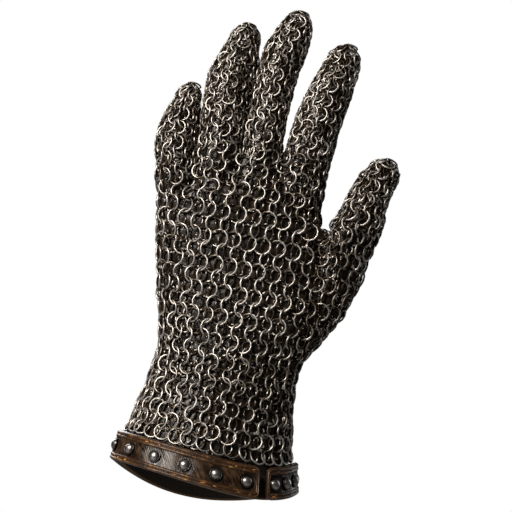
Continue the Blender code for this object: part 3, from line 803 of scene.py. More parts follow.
def finger_ring_rows(row_sites, name, row, level):
    """Rows of rings from where a finger stands free to its tip, which one ring closes."""
    dome = 1.0 + np.linspace(0.0, 1.0, DOME_STEPS)[1:]
    climbs = np.concatenate([np.linspace(0.0, 1.0, TUBE_STEPS), dome])
    rows = finger_rows(name, climbs)
    steps = np.linalg.norm(np.diff(rows, axis=0), axis=2).mean(axis=1)
    lengths = np.concatenate([[0.0], np.cumsum(steps)])
    heights = rows[..., 2].mean(axis=1)
    start = np.interp(level, heights[:TUBE_STEPS], lengths[:TUBE_STEPS])
    first = float(read_table(ROW_TABLE, level)[1])
    places, sizes = finger_row_places(lengths[-1] - start, first)
    for place, size in zip(places[:-1], sizes):
        row += 1
        climb = np.interp(start + place, lengths, climbs)
        below, points, above = finger_rows(name, [climb - CLIMB_STEP, climb, climb + CLIMB_STEP])
        share = 1.0 - smoothstep((climb - PRESS_FADE[0]) / PRESS_FADE[1])
        points = press_sides(points, name, name, share)
        loop = (points, unit(above - below), points[:, 0].mean(), False)
        add_rings(row_sites[name], row, size, 0.0, loop)
    tip = finger_rows(name, 2.0)[0, :1]
    outward = unit(tip - finger_rows(name, 1.0)[0].mean(axis=0))
    along = unit(np.cross(np.array([[0.0, 1.0, 0.0]]), outward))
    kind = np.array([[1.0, 0.0, FINGER_RING, 0.0]])
    row_sites[name].append((kind, tip, along, np.cross(outward, along), outward))


def tightness(outward):
    """How tight the mail is pulled, by how far it has turned sideways or up from back or palm."""
    away = np.hypot(outward[..., 0], np.clip(outward[..., 2], 0.0, None))
    return smoothstep((away - TIGHT_START) / TIGHT_REACH)


def looseness(place):
    """How unevenly the mail lies: 0 over the middle of the back, growing to 1 with the distance."""
    away = np.hypot((place[:, 0] - EVEN_MIDDLE[0]) / EVEN_REACH[0],
                    (place[:, 2] - EVEN_MIDDLE[1]) / EVEN_REACH[1])
    return smoothstep((away - EVEN_START) / (EVEN_END - EVEN_START))


def jitter(loose, amounts, width=1):
    """Columns of random numbers either way, as large as the mail is loose there."""
    spread = np.interp(loose, (0.0, 1.0), amounts)[:, None]
    return draw.uniform(-1.0, 1.0, (len(loose), width)) * spread


def painted_shade_on(place, outward, size):
    """How much darker the rings are painted, as shade.

    It grows by an easing curve towards the thumb's side of the hand and round the fingers'
    sides, and by a bell curve of the distance from the line of the thumb's crook.
    """
    # painted shade, darker towards the thumb's side of the hand, and further out higher up
    edge = SHADE_START + SHADE_LEAN * np.clip(place[:, 2] - SHADE_HEIGHT, 0.0, None)
    shade = THUMB_SHADE * smoothstep((place[:, 0] - edge) / SHADE_REACH)
    low, high = FINGER_SHADE_TURN
    # painted shade on the fingers' sides towards the thumb, and on the thumb's side towards them
    small = (1.0 - size) / (1.0 - FINGER_RING)
    turned = outward[:, 0] * np.where(place[:, 0] < THUMB_WEB_X, 1.0, -1.0)
    shade = shade + FINGER_SHADE * small * smoothstep((turned - low) / (high - low))
    # painted shade in the crook of the thumb, along a line down from the notch
    below = THUMB_WEB - place[:, 2]
    crook = np.exp(-((place[:, 0] - THUMB_WEB_X - CROOK_LEAN * below) / CROOK_REACH) ** 2)
    return shade + CROOK_SHADE * crook * smoothstep(1.0 - np.abs(below) / CROOK_LENGTH)


def ring_points(rows):
    """Points of every ring of a piece, with how bright each point is from wear and painted shade.

    A ring is a torus: a small circle, the wire's section, carried round a large one. The
    large circle lies in the plane of the way up the glove and of the way along the row, the
    latter leaned out on even rows and in on odd ones. Handling rubs what stands out, and on
    even rows the ring's foot too. The wire that lies deeper is painted dark as shade, and so
    are the backing layer, the thumb's side of the hand, the fingers' sides and the thumb's crook.
    """
    kind, place, along, up, outward = (np.concatenate(column) for column in zip(*rows))
    lean, hem, size, under = kind.T
    flatten = 1.0 - SIDE_FLATTEN * tightness(outward)
    loose = looseness(place)
    fine = np.interp(size, (FINGER_RING, 1.0), (FINGER_TILT, 1.0))
    tilt = (RING_TILT * fine * (1.0 - HEM_FLATTEN * hem) * flatten * lean)[:, None]
    tilt = np.radians(tilt + jitter(loose, TILT_JITTER) * flatten[:, None])
    swing = (HEM_NOD * (hem == 1.0) * (under == 0.0))[:, None]
    nod = np.radians(jitter(loose, NOD_JITTER) * flatten[:, None] - swing)
    shift = jitter(loose, PLACE_JITTER, 2) * size[:, None]
    radius = RING_RADIUS * size * (1.0 + draw.uniform(-SIZE_JITTER, SIZE_JITTER, len(size)))
    wire = np.interp(size, (FINGER_RING, 1.0), (FINE_WIRE, WIRE)) * (1.0 - (1.0 - UNDER_WIRE) * under)
    tone = draw.uniform(-TONE_JITTER, TONE_JITTER, len(size))
    depth = RING_SINK + (RING_DEPTH + UNDER_DEPTH * under) * size * flatten
    depth = depth[:, None] + jitter(loose, DEPTH_JITTER)

    across = np.cos(tilt) * along + np.sin(tilt) * outward
    upright = np.cos(nod) * up + np.sin(nod) * outward
    facing = unit(np.cross(across, upright))
    upright = np.cross(facing, across)
    middle = place - depth * outward + shift[:, :1] * along + shift[:, 1:] * up
    across, upright, facing, middle, out = (
        vector[:, None, None, :] for vector in (across, upright, facing, middle, outward))
    wire = wire[:, None, None, None] / 2
    turn = np.linspace(0.0, 2.0 * np.pi, RING_STEPS, endpoint=False)[None, :, None, None]
    side = np.linspace(0.0, 2.0 * np.pi, WIRE_SIDES, endpoint=False)[None, None, :, None]
    reach = radius[:, None, None, None] + wire * np.cos(side)
    ray = np.cos(turn) * across + np.sin(turn) * upright
    points = middle + reach * ray + wire * np.sin(side) * facing

    # wear brightens what stands out, and painted shade darkens the wire that lies deeper
    stand = ((points - middle) * out).sum(axis=3) / (size * flatten)[:, None, None]
    foot = np.clip(-np.sin(turn[..., 0]), 0.0, 1.0) * (lean > 0.0)[:, None, None]
    wear_and_shade = smoothstep((stand + FOOT_RUB * foot - RUB_AND_SHADE_START) / RUB_AND_SHADE_RISE)
    # more wear towards the strap and over the back's middle, less where shade is painted
    more = HEM_RUB * hem + MIDDLE_RUB * (1.0 - loose) - painted_shade_on(place, outward, size)
    # painted shade: the backing layer is darker than the first
    more = more - UNDER_SHADE * under + tone
    return points, wear_and_shade + more[:, None, None]


# ---------------------------------------------------------------- meshes

def grid_faces(rows, columns, close_rows=False, close_columns=False, flip=False):
    """Quads between neighbouring points of a grid, as index rows."""
    row = np.arange(rows if close_rows else rows - 1)[:, None]
    column = np.arange(columns if close_columns else columns - 1)[None, :]
    above, after = (row + 1) % rows, (column + 1) % columns
    quads = np.stack([row * columns + column, row * columns + after,
                      above * columns + after, above * columns + column], axis=2).reshape(-1, 4)
    return quads[:, ::-1] if flip else quads


def fan_faces(ring, centre):
    """Triangles from the edges of a closed ring of points to the point in its middle."""
    return np.stack([ring, np.roll(ring, -1), np.full(len(ring), centre)], axis=1)


def copied_faces(one, count, size):
    """The faces of one small shape of this many points, for this many copies of it."""
    return (one[None] + size * np.arange(count)[:, None, None]).reshape(-1, one.shape[1])


def put_in_scene(name, data):
    """A new object that shows this mesh, light or camera."""
    thing = bpy.data.objects.new(name, data)
    bpy.context.scene.collection.objects.link(thing)
    return thing


def make_piece(name, points, faces, material, replaced=(), values=None):
    """Put a mesh of points in millimetres into the scene, riding on the glove's one body.

    The values are numbers at its points, kept for the material under these names.
    """
    mesh = bpy.data.meshes.new(name)
    mesh.from_pydata((np.reshape(points, (-1, 3)) * MM).tolist(), [], [list(face) for face in faces])
    mesh.polygons.foreach_set("use_smooth", np.ones(len(mesh.polygons), dtype=bool))
    for key, numbers in (values or {}).items():
        mesh.attributes.new(key, "FLOAT", "POINT").data.foreach_set("value", np.ravel(numbers))
    mesh.materials.append(material)
    piece = put_in_scene(name, mesh)
    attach(piece, "root")
    if replaced:
        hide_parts(*replaced)
    return piece


def add_wall(piece, wall):
    """Give an open surface a wall on its inner side."""
    shell = piece.modifiers.new("wall", "SOLIDIFY")
    shell.thickness = wall * MM
    shell.offset = -1.0
    shell.use_rim = True


def pillows(points, row_sites):
    """How far leather swells into the rings over it.

    Under each ring this is a bell curve of the distance from the ring's middle.
    """
    rise = np.zeros(len(points))
    for rows in row_sites.values():
        for kind, places, _, _, _ in rows:
            for (_, _, size, under), place in zip(kind, places):
                if not under:
                    away = ((points - place) ** 2).sum(axis=1) / (PILLOW_RADIUS * size) ** 2
                    rise = np.maximum(rise, PILLOW_RISE * size * np.exp(-away))
    return rise


def sink_under_mail(piece, depth, row_sites):
    """Move a surface in from the mail's outer face: each point goes along its own normal.

    It goes deepest where the normal faces back or palm, and least at the sides.
    """
    vertices = piece.data.vertices
    place, normal = np.empty(len(vertices) * 3), np.empty(len(vertices) * 3)
    vertices.foreach_get("co", place)
    vertices.foreach_get("normal", normal)
    place, normal = place.reshape(-1, 3) / MM, normal.reshape(-1, 3)
    above_strap = smoothstep((place[:, 2] - STRAP_TOP) / TIGHT_EASE)
    inward = depth + (TIGHT_DEPTH - depth) * tightness(normal) * above_strap
    inward = inward - pillows(place, row_sites)
    vertices.foreach_set("co", ((place - normal * inward[:, None]) * MM).ravel())


def make_rings(part, rows, material):
    """All the rings over one length of the glove."""
    # each point's wear and painted shade, for the wire's colour
    points, wear_and_shade = ring_points(rows)
    one = grid_faces(RING_STEPS, WIRE_SIDES, close_rows=True, close_columns=True)
    faces = copied_faces(one, len(points), RING_STEPS * WIRE_SIDES)
    make_piece("ring_mail_" + part, points, faces, material, ("mail_" + part,),
               {"wear_and_shade": wear_and_shade})


def make_leather_hand(material, row_sites):
    """The leather hand under the rings: rows round it from its hem to the roots of the fingers."""
    outward = MAIL_WALL * smoothstep((OUT_TOP - LEATHER_HEIGHTS) / (OUT_TOP - MAIL_FOOT))
    back, palm = lower_halves(LEATHER_HEIGHTS, outward)
    lower = np.concatenate([back, palm[:, -2:0:-1]], axis=1)
    back, palm, side = upper_halves(LEATHER_SHARES)
    upper = np.concatenate([back, side[:, None], palm[:, :0:-1]], axis=1)
    points = np.concatenate([lower.reshape(-1, 3), upper.reshape(-1, 3)])
    more = grid_faces(*upper.shape[:2], close_columns=True) + lower.size // 3
    faces = np.concatenate([grid_faces(*lower.shape[:2], close_columns=True), more])
    rise = np.concatenate([np.repeat(LEATHER_HEIGHTS, lower.shape[1]),
                           np.full(upper.size // 3, THUMB_WEB)])
    piece = make_piece("leather_glove_hand", points, faces, material, ("leather_hand",),
                       {"rise": rise})
    shape = bmesh.new()
    shape.from_mesh(piece.data)
    bmesh.ops.remove_doubles(shape, verts=shape.verts, dist=WELD * MM)
    shape.to_mesh(piece.data)
    shape.free()
    sink_under_mail(piece, LEATHER_DEPTH, row_sites)
    add_wall(piece, LEATHER_WALL)


def make_leather_finger(name, material, row_sites):
    """A finger of the leather glove: rows round it to its dome, closed at the tip."""
    rows = finger_rows(name, LEATHER_CLIMBS)
    points = np.concatenate([rows.reshape(-1, 3), finger_rows(name, 2.0)[0, :1]])
    faces = grid_faces(*rows.shape[:2], close_columns=True)
    last = np.arange(len(points) - 1 - FINGER_COLUMNS, len(points) - 1)
    piece = make_piece("leather_glove_" + name, points, [*faces, *fan_faces(last, len(points) - 1)],
                       material, ("leather_" + name,),
                       {"rise": np.full(len(points), THUMB_WEB)})
    sink_under_mail(piece, FINGER_DEPTH, row_sites)
    add_wall(piece, LEATHER_WALL)


# ---------------------------------------------------------------- cuff strap

def cuff_points(turn, height, outward):
    """Points of the cuff at angles from its radial side, this far outside the mail.

    At each height the cuff is half an ellipse for the back and half of another for the palm,
    and a point stands off it along the ellipse's own normal.
    """
    turn, height, outward = np.broadcast_arrays(turn, height, outward)
    ulnar, radial, back, palm, _ = read_table(LOWER_HAND, height)
    reach = (radial - ulnar) / 2
    depth = np.where(np.sin(turn) > 0, back, palm)
    normal = unit(np.stack([np.cos(turn) / reach, -np.sin(turn) / depth, 0.0 * turn], axis=-1))
    foot = np.stack([(ulnar + radial) / 2 + reach * np.cos(turn), -depth * np.sin(turn),
                     height - rim_dip(height, turn)], axis=-1)
    return foot + normal * outward[..., None]


def cuff_run():
    """Angles round the cuff and the distance along it, from one side of the slot to the other."""
    turns = np.linspace(0.0, 2.0 * np.pi, CUFF_STEPS + 1)
    level = cuff_points(turns[:CUFF_STEPS // 2], STRAP_MIDDLE, 0.0)
    start = turns[np.argmin(np.abs(level[:, 0] - SLOT_MIDDLE_X))]
    points = cuff_points(start + turns, STRAP_MIDDLE, STRAP_WALL)
    lengths = np.linalg.norm(np.diff(points, axis=0), axis=1)
    return start + turns, np.concatenate([[0.0], np.cumsum(lengths)])


RUN_TURNS, RUN_LENGTHS = cuff_run()
RUN = RUN_LENGTHS[-1]


def strap_points(distance, height, outward):
    """Points of the strap, this far along it from the middle of the slot."""
    return cuff_points(np.interp(distance, RUN_LENGTHS, RUN_TURNS), height, outward)


def strap_normals(distance, height, outward):
    """The way that the strap's outer face looks, which leans down with the cuff's flare."""
    after, before = (strap_points(distance + step, height, outward) for step in (NEAR, -NEAR))
    above, below = (strap_points(distance, height + step, outward) for step in (NEAR, -NEAR))
    return unit(np.cross(above - below, after - before))


def rivet_spots():
    """How far along the strap each rivet stands."""
    tab = RUN - SLOT_TO_TAB_RIVET - TAB_RIVET_PITCH * np.arange(TAB_RIVETS)
    main = SLOT_TO_MAIN_RIVET + MAIN_RIVET_PITCH * np.arange(MAIN_RIVETS)
    return np.sort(np.concatenate([tab, main]))


def make_strap(material):
    """The flat of the strap: a sheet with shallow dents and waves, each the sine of a distance.

    Round each rivet it dips, by a bell curve of the distance from the rivet's rim.
    """
    first = SLOT_WIDTH / 2 + STRAP_INSET * END_SHARE
    distance = np.linspace(first, RUN - first, STRAP_COLUMNS + 1)[None, :]
    height = np.linspace(STRAP_FOOT + STRAP_INSET, STRAP_TOP - STRAP_INSET, STRAP_ROWS)[:, None]
    gap = np.min([np.hypot(distance - spot, height - STRAP_MIDDLE) for spot in rivet_spots()], axis=0)
    dents = DENT_DEPTH * np.sin(distance / DENT_LENGTH) * np.sin(height / DENT_HEIGHT)
    wave = dents + WAVE_DEPTH * np.sin(distance / WAVE_LENGTH + WAVE_START)
    dip = DIP_DEPTH * np.exp(-((gap - RIVET_RADIUS) / DIP_REACH) ** 2)
    points = strap_points(distance, height, LAYER_GAP + STRAP_WALL + STRAP_SWELL + wave - dip)
    rivet = np.exp(-(np.clip(gap - RIVET_RADIUS, 0.0, None) / DIRT_REACH) ** 2)
    faces = grid_faces(STRAP_ROWS, STRAP_COLUMNS + 1, flip=True)
    piece = make_piece("riveted_strap", points, faces, material, ("cuff_strap",),
                       {"rivet": rivet, "run": distance + 0.0 * height,
                        "rise": height + 0.0 * distance})
    add_wall(piece, STRAP_WALL)


def binding_path(inset):
    """Distances and heights round the strap's edge, with rounded corners, this far inside it.

    Across the strap's ends they lie less far inside it.
    """
    end_inset = inset * END_SHARE
    first, last = SLOT_WIDTH / 2 + end_inset, RUN - SLOT_WIDTH / 2 - end_inset
    foot, top = STRAP_FOOT + inset, STRAP_TOP - inset
    reach, rise = BINDING_CORNER - end_inset, max(BINDING_CORNER - inset, INNER_CORNER)
    corners = ((last - reach, foot + rise, -90.0), (last - reach, top - rise, 0.0),
               (first + reach, top - rise, 90.0), (first + reach, foot + rise, 180.0))
    along, up = [], []
    for centre_along, centre_up, turn in corners:
        angle = np.radians(turn + np.linspace(0.0, 90.0, CORNER_STEPS + 1))
        along.append(centre_along + reach * np.cos(angle))
        up.append(centre_up + rise * np.sin(angle))
        if turn in (0.0, 180.0):
            far = first + reach if turn == 0.0 else last - reach
            along.append(np.linspace(along[-1][-1], far, BINDING_COLUMNS + 1)[1:-1])
            up.append(np.full(BINDING_COLUMNS - 1, up[-1][-1]))
    return np.concatenate(along), np.concatenate(up)


def make_binding(material):
    """The binding: its rounded section, with a sewn groove, carried round the strap's edge."""
    section = np.array(BINDING_SECTION)
    paths = [binding_path(inset) for inset in section[:, 0]]
    along, up = np.array([path[0] for path in paths]), np.array([path[1] for path in paths])
    wave = BUCKLE_DEPTH * np.sin(along / BUCKLE_SHORT) * np.sin(along / BUCKLE_LONG)
    wave = wave * (section[:, 1:] > BUCKLE_FROM)
    points = strap_points(along, up, section[:, 1:] + wave)
    faces = grid_faces(len(section), along.shape[1], close_rows=True, close_columns=True, flip=True)
    crest = np.clip((section[:, 1:] - CREST_FROM) / CREST_RISE, 0.0, 1.0) ** 2 + 0.0 * along
    make_piece("rolled_binding", points, faces, material, ("edge_binding",),
               {"crest": crest, "run": along, "rise": up})


def make_stitches(material):
    """A worn running stitch in the binding's groove: lengths of thread that dive at their ends.

    Each is a circle carried along an arch that falls by the cube of the way from its middle.
    The circle shrinks towards the ends by a power of the cosine.
    """
    middles, heights = [], []
    for height, pitch in ((STRAP_FOOT + STITCH_INSET, FOOT_STITCH_PITCH),
                          (STRAP_TOP - STITCH_INSET, TOP_STITCH_PITCH)):
        first = SLOT_WIDTH / 2 + STITCH_MARGIN
        middle = np.arange(first, RUN - first, pitch)
        middles.append(middle + draw.uniform(-STITCH_SHIFT, STITCH_SHIFT, len(middle)) * pitch)
        heights.append(np.full(len(middle), height))
    middle, height = np.concatenate(middles), np.concatenate(heights)
    count = len(middle)
    crossing = draw.random(count) < CROSS_STITCHES
    slant = draw.uniform(-STITCH_SLANT, STITCH_SLANT, count)
    slant = np.where(crossing, np.radians(CROSS_SLANT), slant)
    length = STITCH_LENGTH * draw.uniform(*STITCH_SPREAD, count)
    length = np.where(crossing, CROSS_LENGTH, length)
    share = np.linspace(-0.5, 0.5, STITCH_STEPS)[None, :, None]
    side = np.linspace(0.0, 2.0 * np.pi, THREAD_SIDES, endpoint=False)[None, None, :]
    thick = THREAD / 2 * np.cos(np.pi * share * THREAD_SPAN) ** THREAD_BLUNT
    reach = share * length[:, None, None]
    slant = slant[:, None, None]
    run = middle[:, None, None] + reach * np.cos(slant) - thick * np.cos(side) * np.sin(slant)
    rise = height[:, None, None] + reach * np.sin(slant) + thick * np.cos(side) * np.cos(slant)
    arch = STITCH_DIVE * (2.0 * np.abs(share)) ** 3
    outward = STITCH_LIFT - arch + thick * np.sin(side) + 0.0 * run
    points = strap_points(run, rise, outward)
    size = STITCH_STEPS * THREAD_SIDES
    one = grid_faces(STITCH_STEPS, THREAD_SIDES, close_columns=True)
    faces = copied_faces(one, count, size)
    cap = np.arange(THREAD_SIDES)
    caps = np.concatenate([copied_faces(end[None], count, size)
                           for end in (cap[::-1], size - THREAD_SIDES + cap)])
    tone = np.broadcast_to(draw.random(count)[:, None, None], rise.shape)
    make_piece("binding_stitches", points, [*faces.tolist(), *caps.tolist()], material,
               values={"tone": tone})


def make_rivets(material):
    """Domed rivets with a thin rim: a profile turned about the strap's normal."""
    section = np.array(RIVET_SECTION)
    inner = section[1:-1]
    outward = 2.0 * LAYER_GAP + STRAP_WALL
    turn = np.linspace(0.0, 2.0 * np.pi, RIVET_STEPS, endpoint=False)
    count = len(inner) * RIVET_STEPS
    first = np.arange(RIVET_STEPS)
    last = count - RIVET_STEPS + first
    faces = [*grid_faces(len(inner), RIVET_STEPS, close_columns=True, flip=True).tolist(),
             *fan_faces(first, count).tolist(), *fan_faces(last, count + 1)[:, [1, 0, 2]].tolist()]
    polish = np.concatenate([np.repeat(inner[:, 2], RIVET_STEPS), section[[0, -1], 2]])
    for number, spot in enumerate(rivet_spots(), start=1):
        place = strap_points(np.array([spot]), STRAP_MIDDLE, outward)[0]
        normal = strap_normals(np.array([spot]), STRAP_MIDDLE, outward)[0]
        side = unit(np.cross(np.array([0.0, 0.0, 1.0]), normal))
        rise = np.cross(normal, side)
        ray = np.cos(turn)[:, None] * side + np.sin(turn)[:, None] * rise
        points = place + inner[:, :1, None] * ray[None] + inner[:, 1:2, None] * normal
        poles = [place + section[0, 1] * normal, place]
        make_piece(f"rivet_head_{number:02d}", np.concatenate([points.reshape(-1, 3), poles]), faces,
                   material, (f"rivet_{number:02d}",), {"polish": polish})


# ---------------------------------------------------------------- materials

def colour(code):
    """An sRGB hex value as linear red, green, blue and alpha."""
    value = np.array([int(code[place:place + 2], 16) for place in (1, 3, 5)]) / 255.0
    linear = np.where(value <= 0.04045, value / 12.92, ((value + 0.055) / 1.055) ** 2.4)
    return (*linear.tolist(), 1.0)


def new_material(name, **settings):
    """A Principled BSDF material with these constants, and its node tree and shader."""
    material = bpy.data.materials.new(name)
    material.use_nodes = True
    tree = material.node_tree
    shader = tree.nodes["Principled BSDF"]
    for key, value in settings.items():
        shader.inputs[key.replace("_", " ")].default_value = value
    return material, tree, shader


def add(tree, kind, settings, links=None, out=0):
    """Add a node with these settings, colour stops and links, and give one of its outputs."""
    node = tree.nodes.new("ShaderNode" + kind)
    for key, value in settings.items():
        if key == "stops":
            elements = node.color_ramp.elements
            for number, (position, code) in enumerate(value):
                element = elements[number] if number < len(elements) else elements.new(position)
                element.position = position
                element.color = colour(code)
        elif isinstance(key, str) and hasattr(node, key):
            setattr(node, key, value)
        else:
            node.inputs[key].default_value = value
    for key, socket in (links or {}).items():
        tree.links.new(socket, node.inputs[key])
    return node.outputs[out] if node.outputs else None


def per_mm(size):
    """The texture scale that gives features of this many millimetres."""
    return 1.0 / (size * MM)


def oiled_steel():
    """Oiled iron wire: handling polishes what stands out; the rest is black with grime and painted
    shade.

    Here and there the black has been knocked off, and the bare iron glints.
    """
    material, tree, shader = new_material("oiled_steel_wire", Metallic=1.0, Roughness=0.38)
    place = add(tree, "TexCoord", {}, out="Object")
    # wear and painted shade, as the rings carry them
    wear_and_shade = add(tree, "Attribute", {"attribute_name": "wear_and_shade"}, out="Fac")
    grime = add(tree, "TexNoise", {"Scale": per_mm(2.6), "Detail": 2.0}, {"Vector": place})
    bare = add(tree, "MapRange", {"From Min": 0.54, "From Max": 0.6, "To Max": 0.95},
               {"Value": grime})
    patchy = add(tree, "Math", {"operation": "MULTIPLY_ADD", 1: 0.7, 2: -0.35}, {0: grime})
    polish = add(tree, "Math", {"operation": "ADD"}, {0: wear_and_shade, 1: patchy})
    polish = add(tree, "Math", {"operation": "MAXIMUM", "use_clamp": True}, {0: polish, 1: bare})
    base = add(tree, "ValToRGB", {"stops": (
        (0.0, "#2f2820"), (0.35, "#5e554b"), (0.7, "#98928a"), (1.0, "#c6c1bb"))}, {"Fac": polish})
    tree.links.new(base, shader.inputs["Base Color"])
    rough = add(tree, "MapRange", {"To Min": 0.55, "To Max": 0.46}, {"Value": polish})
    tree.links.new(rough, shader.inputs["Roughness"])
    return material


def glove_leather():
    """Vegetable-tanned glove leather: fine pebbled grain, brown inside the cuff, with a sewn hem.

    Under the mail it is black with oil, and shines where it swells into the rings.
    """
    material, tree, shader = new_material("oiled_glove_leather", Specular_IOR_Level=0.35)
    place = add(tree, "TexCoord", {}, out="Object")
    grain = add(tree, "TexVoronoi", {"Scale": per_mm(1.3)}, {"Vector": place})
    blotch = add(tree, "TexNoise", {"Scale": per_mm(9.0), "Detail": 4.0}, {"Vector": place})
    oiled = add(tree, "ValToRGB", {"stops": (
        (0.3, "#130f0b"), (0.55, "#231a11"), (0.75, "#37291b"))}, {"Fac": blotch})
    rise = add(tree, "Attribute", {"attribute_name": "rise"}, out="Fac")
    share = add(tree, "MapRange", {"From Max": MOUTH_TOP}, {"Value": rise})
    mouth = add(tree, "ValToRGB", {"stops": (
        (0.0, "#5e4426"), (0.05, "#46321c"), (0.08, "#0d0905"), (0.11, "#1f170e"),
        (0.7, "#150f09"))}, {"Fac": share})
    deep = add(tree, "MapRange", {"From Min": OUT_TOP, "From Max": MOUTH_TOP}, {"Value": rise})
    base = add(tree, "Mix", {"data_type": "RGBA"}, {0: deep, 6: mouth, 7: oiled}, out=2)
    tree.links.new(base, shader.inputs["Base Color"])
    rough = add(tree, "MapRange", {"To Min": 0.8, "To Max": 0.36}, {"Value": deep})
    tree.links.new(rough, shader.inputs["Roughness"])
    bump = add(tree, "Bump", {"Strength": 0.5, "Distance": 0.2 * MM}, {"Height": grain})
    tree.links.new(bump, shader.inputs["Normal"])
    return material


def strap_leather():
    """Harness leather: waxed and burnished, with slanting scratches, black round the rivets.

    A scratch is nearly a millimetre wide, and several long.
    """
    material, tree, shader = new_material("harness_leather", Specular_IOR_Level=0.25)
    place = add(tree, "TexCoord", {}, out="Object")
    run, rise, rivet = (add(tree, "Attribute", {"attribute_name": name}, out="Fac")
                        for name in ("run", "rise", "rivet"))
    flat = add(tree, "CombineXYZ", {}, {"X": run, "Y": rise})
    slanted = add(tree, "Mapping", {"vector_type": "TEXTURE", "Scale": (7.0, 0.9, 1.0),
                                    "Rotation": (0.0, 0.0, np.radians(58.0))}, {"Vector": flat})
    scratch = add(tree, "TexNoise", {"Scale": 1.0, "Detail": 2.0, "Distortion": 0.3},
                  {"Vector": slanted})
    blotch = add(tree, "TexNoise", {"Scale": per_mm(7.0), "Detail": 6.0}, {"Vector": place})
    both = add(tree, "Math", {"operation": "MULTIPLY_ADD", 1: 0.9, 2: -0.45}, {0: scratch})
    both = add(tree, "Math", {"operation": "ADD"}, {0: blotch, 1: both})
    base = add(tree, "ValToRGB", {"stops": (
        (0.3, "#180f08"), (0.5, "#302217"), (0.7, "#503c28"))}, {"Fac": both})
    dark = add(tree, "Mix", {"data_type": "RGBA", 7: colour("#080504")}, {0: rivet, 6: base}, out=2)
    tree.links.new(dark, shader.inputs["Base Color"])
    rough = add(tree, "MapRange", {"From Min": 0.3, "From Max": 0.7, "To Min": 0.18,
                                   "To Max": 0.4}, {"Value": both})
    tree.links.new(rough, shader.inputs["Roughness"])
    bump = add(tree, "Bump", {"Strength": 0.7, "Distance": 0.3 * MM}, {"Height": scratch})
    tree.links.new(bump, shader.inputs["Normal"])
    return material


def binding_leather():
    """Binding leather: turned over the edge, cracked across, its crests rubbed back to tan."""
    material, tree, shader = new_material("rubbed_binding_leather", Roughness=0.36,
                                          Specular_IOR_Level=0.3)
    place = add(tree, "TexCoord", {}, out="Object")
    crest, run, rise = (add(tree, "Attribute", {"attribute_name": name}, out="Fac")
                        for name in ("crest", "run", "rise"))
    flat = add(tree, "CombineXYZ", {}, {"X": run, "Y": rise})
    across = add(tree, "Mapping", {"vector_type": "TEXTURE", "Scale": (1.6, 5.0, 1.0)},
                 {"Vector": flat})
    crack = add(tree, "TexNoise", {"Scale": 1.0, "Detail": 4.0}, {"Vector": across})
    blotch = add(tree, "TexNoise", {"Scale": per_mm(6.0), "Detail": 5.0}, {"Vector": place})
    worn = add(tree, "MapRange", {"From Min": 0.35, "From Max": 0.7}, {"Value": blotch})
    worn = add(tree, "Math", {"operation": "MULTIPLY"}, {0: crest, 1: worn})
    open_crack = add(tree, "MapRange", {"From Min": 0.36, "From Max": 0.48, "To Min": 0.35},
                     {"Value": crack})
    worn = add(tree, "Math", {"operation": "MULTIPLY"}, {0: worn, 1: open_crack})
    base = add(tree, "ValToRGB", {"stops": (
        (0.0, "#2a1b0e"), (0.35, "#4a311b"), (0.65, "#6e4e2d"), (0.95, "#a9824f"))}, {"Fac": worn})
    tree.links.new(base, shader.inputs["Base Color"])
    bump = add(tree, "Bump", {"Strength": 0.7, "Distance": 0.4 * MM}, {"Height": crack})
    tree.links.new(bump, shader.inputs["Normal"])
    return material


def waxed_thread():
    """Waxed linen thread: some stitches are dark with dirt and some still show amber."""
    material, tree, shader = new_material("waxed_linen_thread", Roughness=0.5)
    tone = add(tree, "Attribute", {"attribute_name": "tone"}, out="Fac")
    base = add(tree, "ValToRGB", {"stops": (
        (0.25, "#2c1b0d"), (0.55, "#8a5424"), (0.9, "#d9913f"))}, {"Fac": tone})
    tree.links.new(base, shader.inputs["Base Color"])
    return material


def rivet_steel():
    """Forged rivet heads: the dome and the rim are rubbed bright, the groove keeps its dirt."""
    material, tree, shader = new_material("forged_rivet_steel", Metallic=1.0, Roughness=0.36)
    place = add(tree, "TexCoord", {}, out="Object")
    polish = add(tree, "Attribute", {"attribute_name": "polish"}, out="Fac")
    pits = add(tree, "TexNoise", {"Scale": per_mm(1.6), "Detail": 4.0}, {"Vector": place})
    uneven = add(tree, "Math", {"operation": "MULTIPLY_ADD", 1: 0.6, 2: -0.4}, {0: pits})
    bright = add(tree, "Math", {"operation": "ADD", "use_clamp": True}, {0: polish, 1: uneven})
    base = add(tree, "ValToRGB", {"stops": (
        (0.0, "#15120f"), (0.5, "#6a6663"), (1.0, "#b8b4b0"))}, {"Fac": bright})
    tree.links.new(base, shader.inputs["Base Color"])
    bump = add(tree, "Bump", {"Strength": 0.35, "Distance": 0.15 * MM}, {"Height": pits})
    tree.links.new(bump, shader.inputs["Normal"])
    return material


# ---------------------------------------------------------------- studio

def make_floor():
    """A plain pale floor, well below the glove, which its mount holds up.

    Like the surround it is seen pale, and lights the glove only dimly.
    """
    corners = [(x * FLOOR_SIZE, y * FLOOR_SIZE, FLOOR_LEVEL)
               for x, y in ((-1, -1), (1, -1), (1, 1), (-1, 1))]
    mesh = bpy.data.meshes.new("studio_floor")
    mesh.from_pydata(corners, [], [(0, 1, 2, 3)])
    material, tree, shader = new_material("pale_floor", Base_Color=colour("#c8c8c8"), Roughness=0.9,
                                          Emission_Color=colour("#dcdcdc"))
    seen = add(tree, "LightPath", {}, out="Is Camera Ray")
    tree.links.new(seen, shader.inputs["Emission Strength"])
    mesh.materials.append(material)
    floor = put_in_scene("studio_floor", mesh)


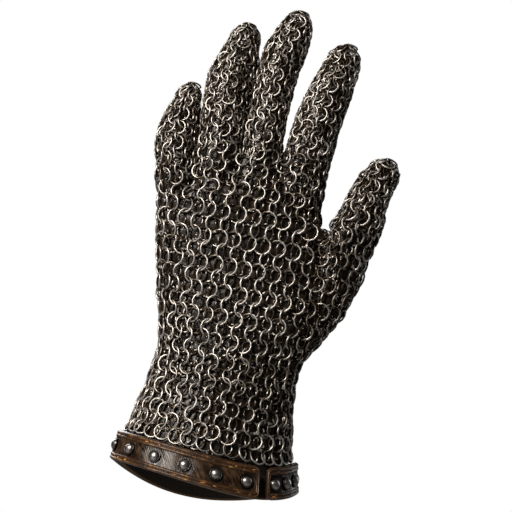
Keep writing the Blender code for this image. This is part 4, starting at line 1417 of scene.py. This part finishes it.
def make_camera():
    """A long lens a little below the middle of the glove, rolled so that the glove leans right."""
    back = Vector((0.0, -np.cos(CAMERA_RISE), np.sin(CAMERA_RISE)))
    data = bpy.data.cameras.new("studio_camera")
    data.lens = data.sensor_width * CAMERA_DISTANCE / CAMERA_FIELD
    camera = put_in_scene("studio_camera", data)
    camera.location = CAMERA_AIM + back * CAMERA_DISTANCE
    camera.rotation_mode = "QUATERNION"
    roll = Quaternion((0.0, 0.0, 1.0), CAMERA_ROLL)
    camera.rotation_quaternion = (-back).to_track_quat("-Z", "Y") @ roll
    bpy.context.scene.camera = camera


def make_light(name, place, size, power, tint):
    """A soft box that faces the middle of the glove."""
    data = bpy.data.lights.new(name, "AREA")
    data.shape = "SQUARE"
    data.size = size
    data.energy = power
    data.color = colour(tint)[:3]
    light = put_in_scene(name, data)
    light.location = place
    light.rotation_mode = "QUATERNION"
    light.rotation_quaternion = (LIGHT_AIM - Vector(place)).to_track_quat("-Z", "Y")


def make_world():
    """A white surround that lights the glove only dimly, as a far white backdrop does."""
    world = bpy.data.worlds.new("studio_surround")
    world.use_nodes = True
    tree = world.node_tree
    tree.nodes.clear()
    white = add(tree, "Background", {"Color": colour("#ffffff"), "Strength": 1.0})
    dim = add(tree, "Background", {"Color": colour("#c8ccd2"), "Strength": 0.09})
    seen = add(tree, "LightPath", {}, out="Is Camera Ray")
    mix = add(tree, "MixShader", {}, {0: seen, 1: dim, 2: white})
    add(tree, "OutputWorld", {}, {"Surface": mix})
    bpy.context.scene.world = world
    bpy.context.scene.view_settings.view_transform = "Standard"


def main():
    """Make every piece of the glove, and the studio round it."""
    steel = oiled_steel()
    row_sites = {name: [] for name in (*LENGTH_ENDS, *FINGERS)}
    lower_ring_rows(row_sites)
    last = upper_ring_rows(row_sites)
    last["thumb"] = (0, THUMB_WEB)
    for name in FINGERS:
        finger_ring_rows(row_sites, name, *last[name])
    for part, rows in row_sites.items():
        make_rings(part, rows, steel)
    glove = glove_leather()
    make_leather_hand(glove, row_sites)
    for name in FINGERS:
        make_leather_finger(name, glove, row_sites)
    make_strap(strap_leather())
    make_binding(binding_leather())
    make_stitches(waxed_thread())
    make_rivets(rivet_steel())
    make_floor()
    make_camera()
    for name, settings in LIGHTS.items():
        make_light(name, *settings)
    make_world()


main()
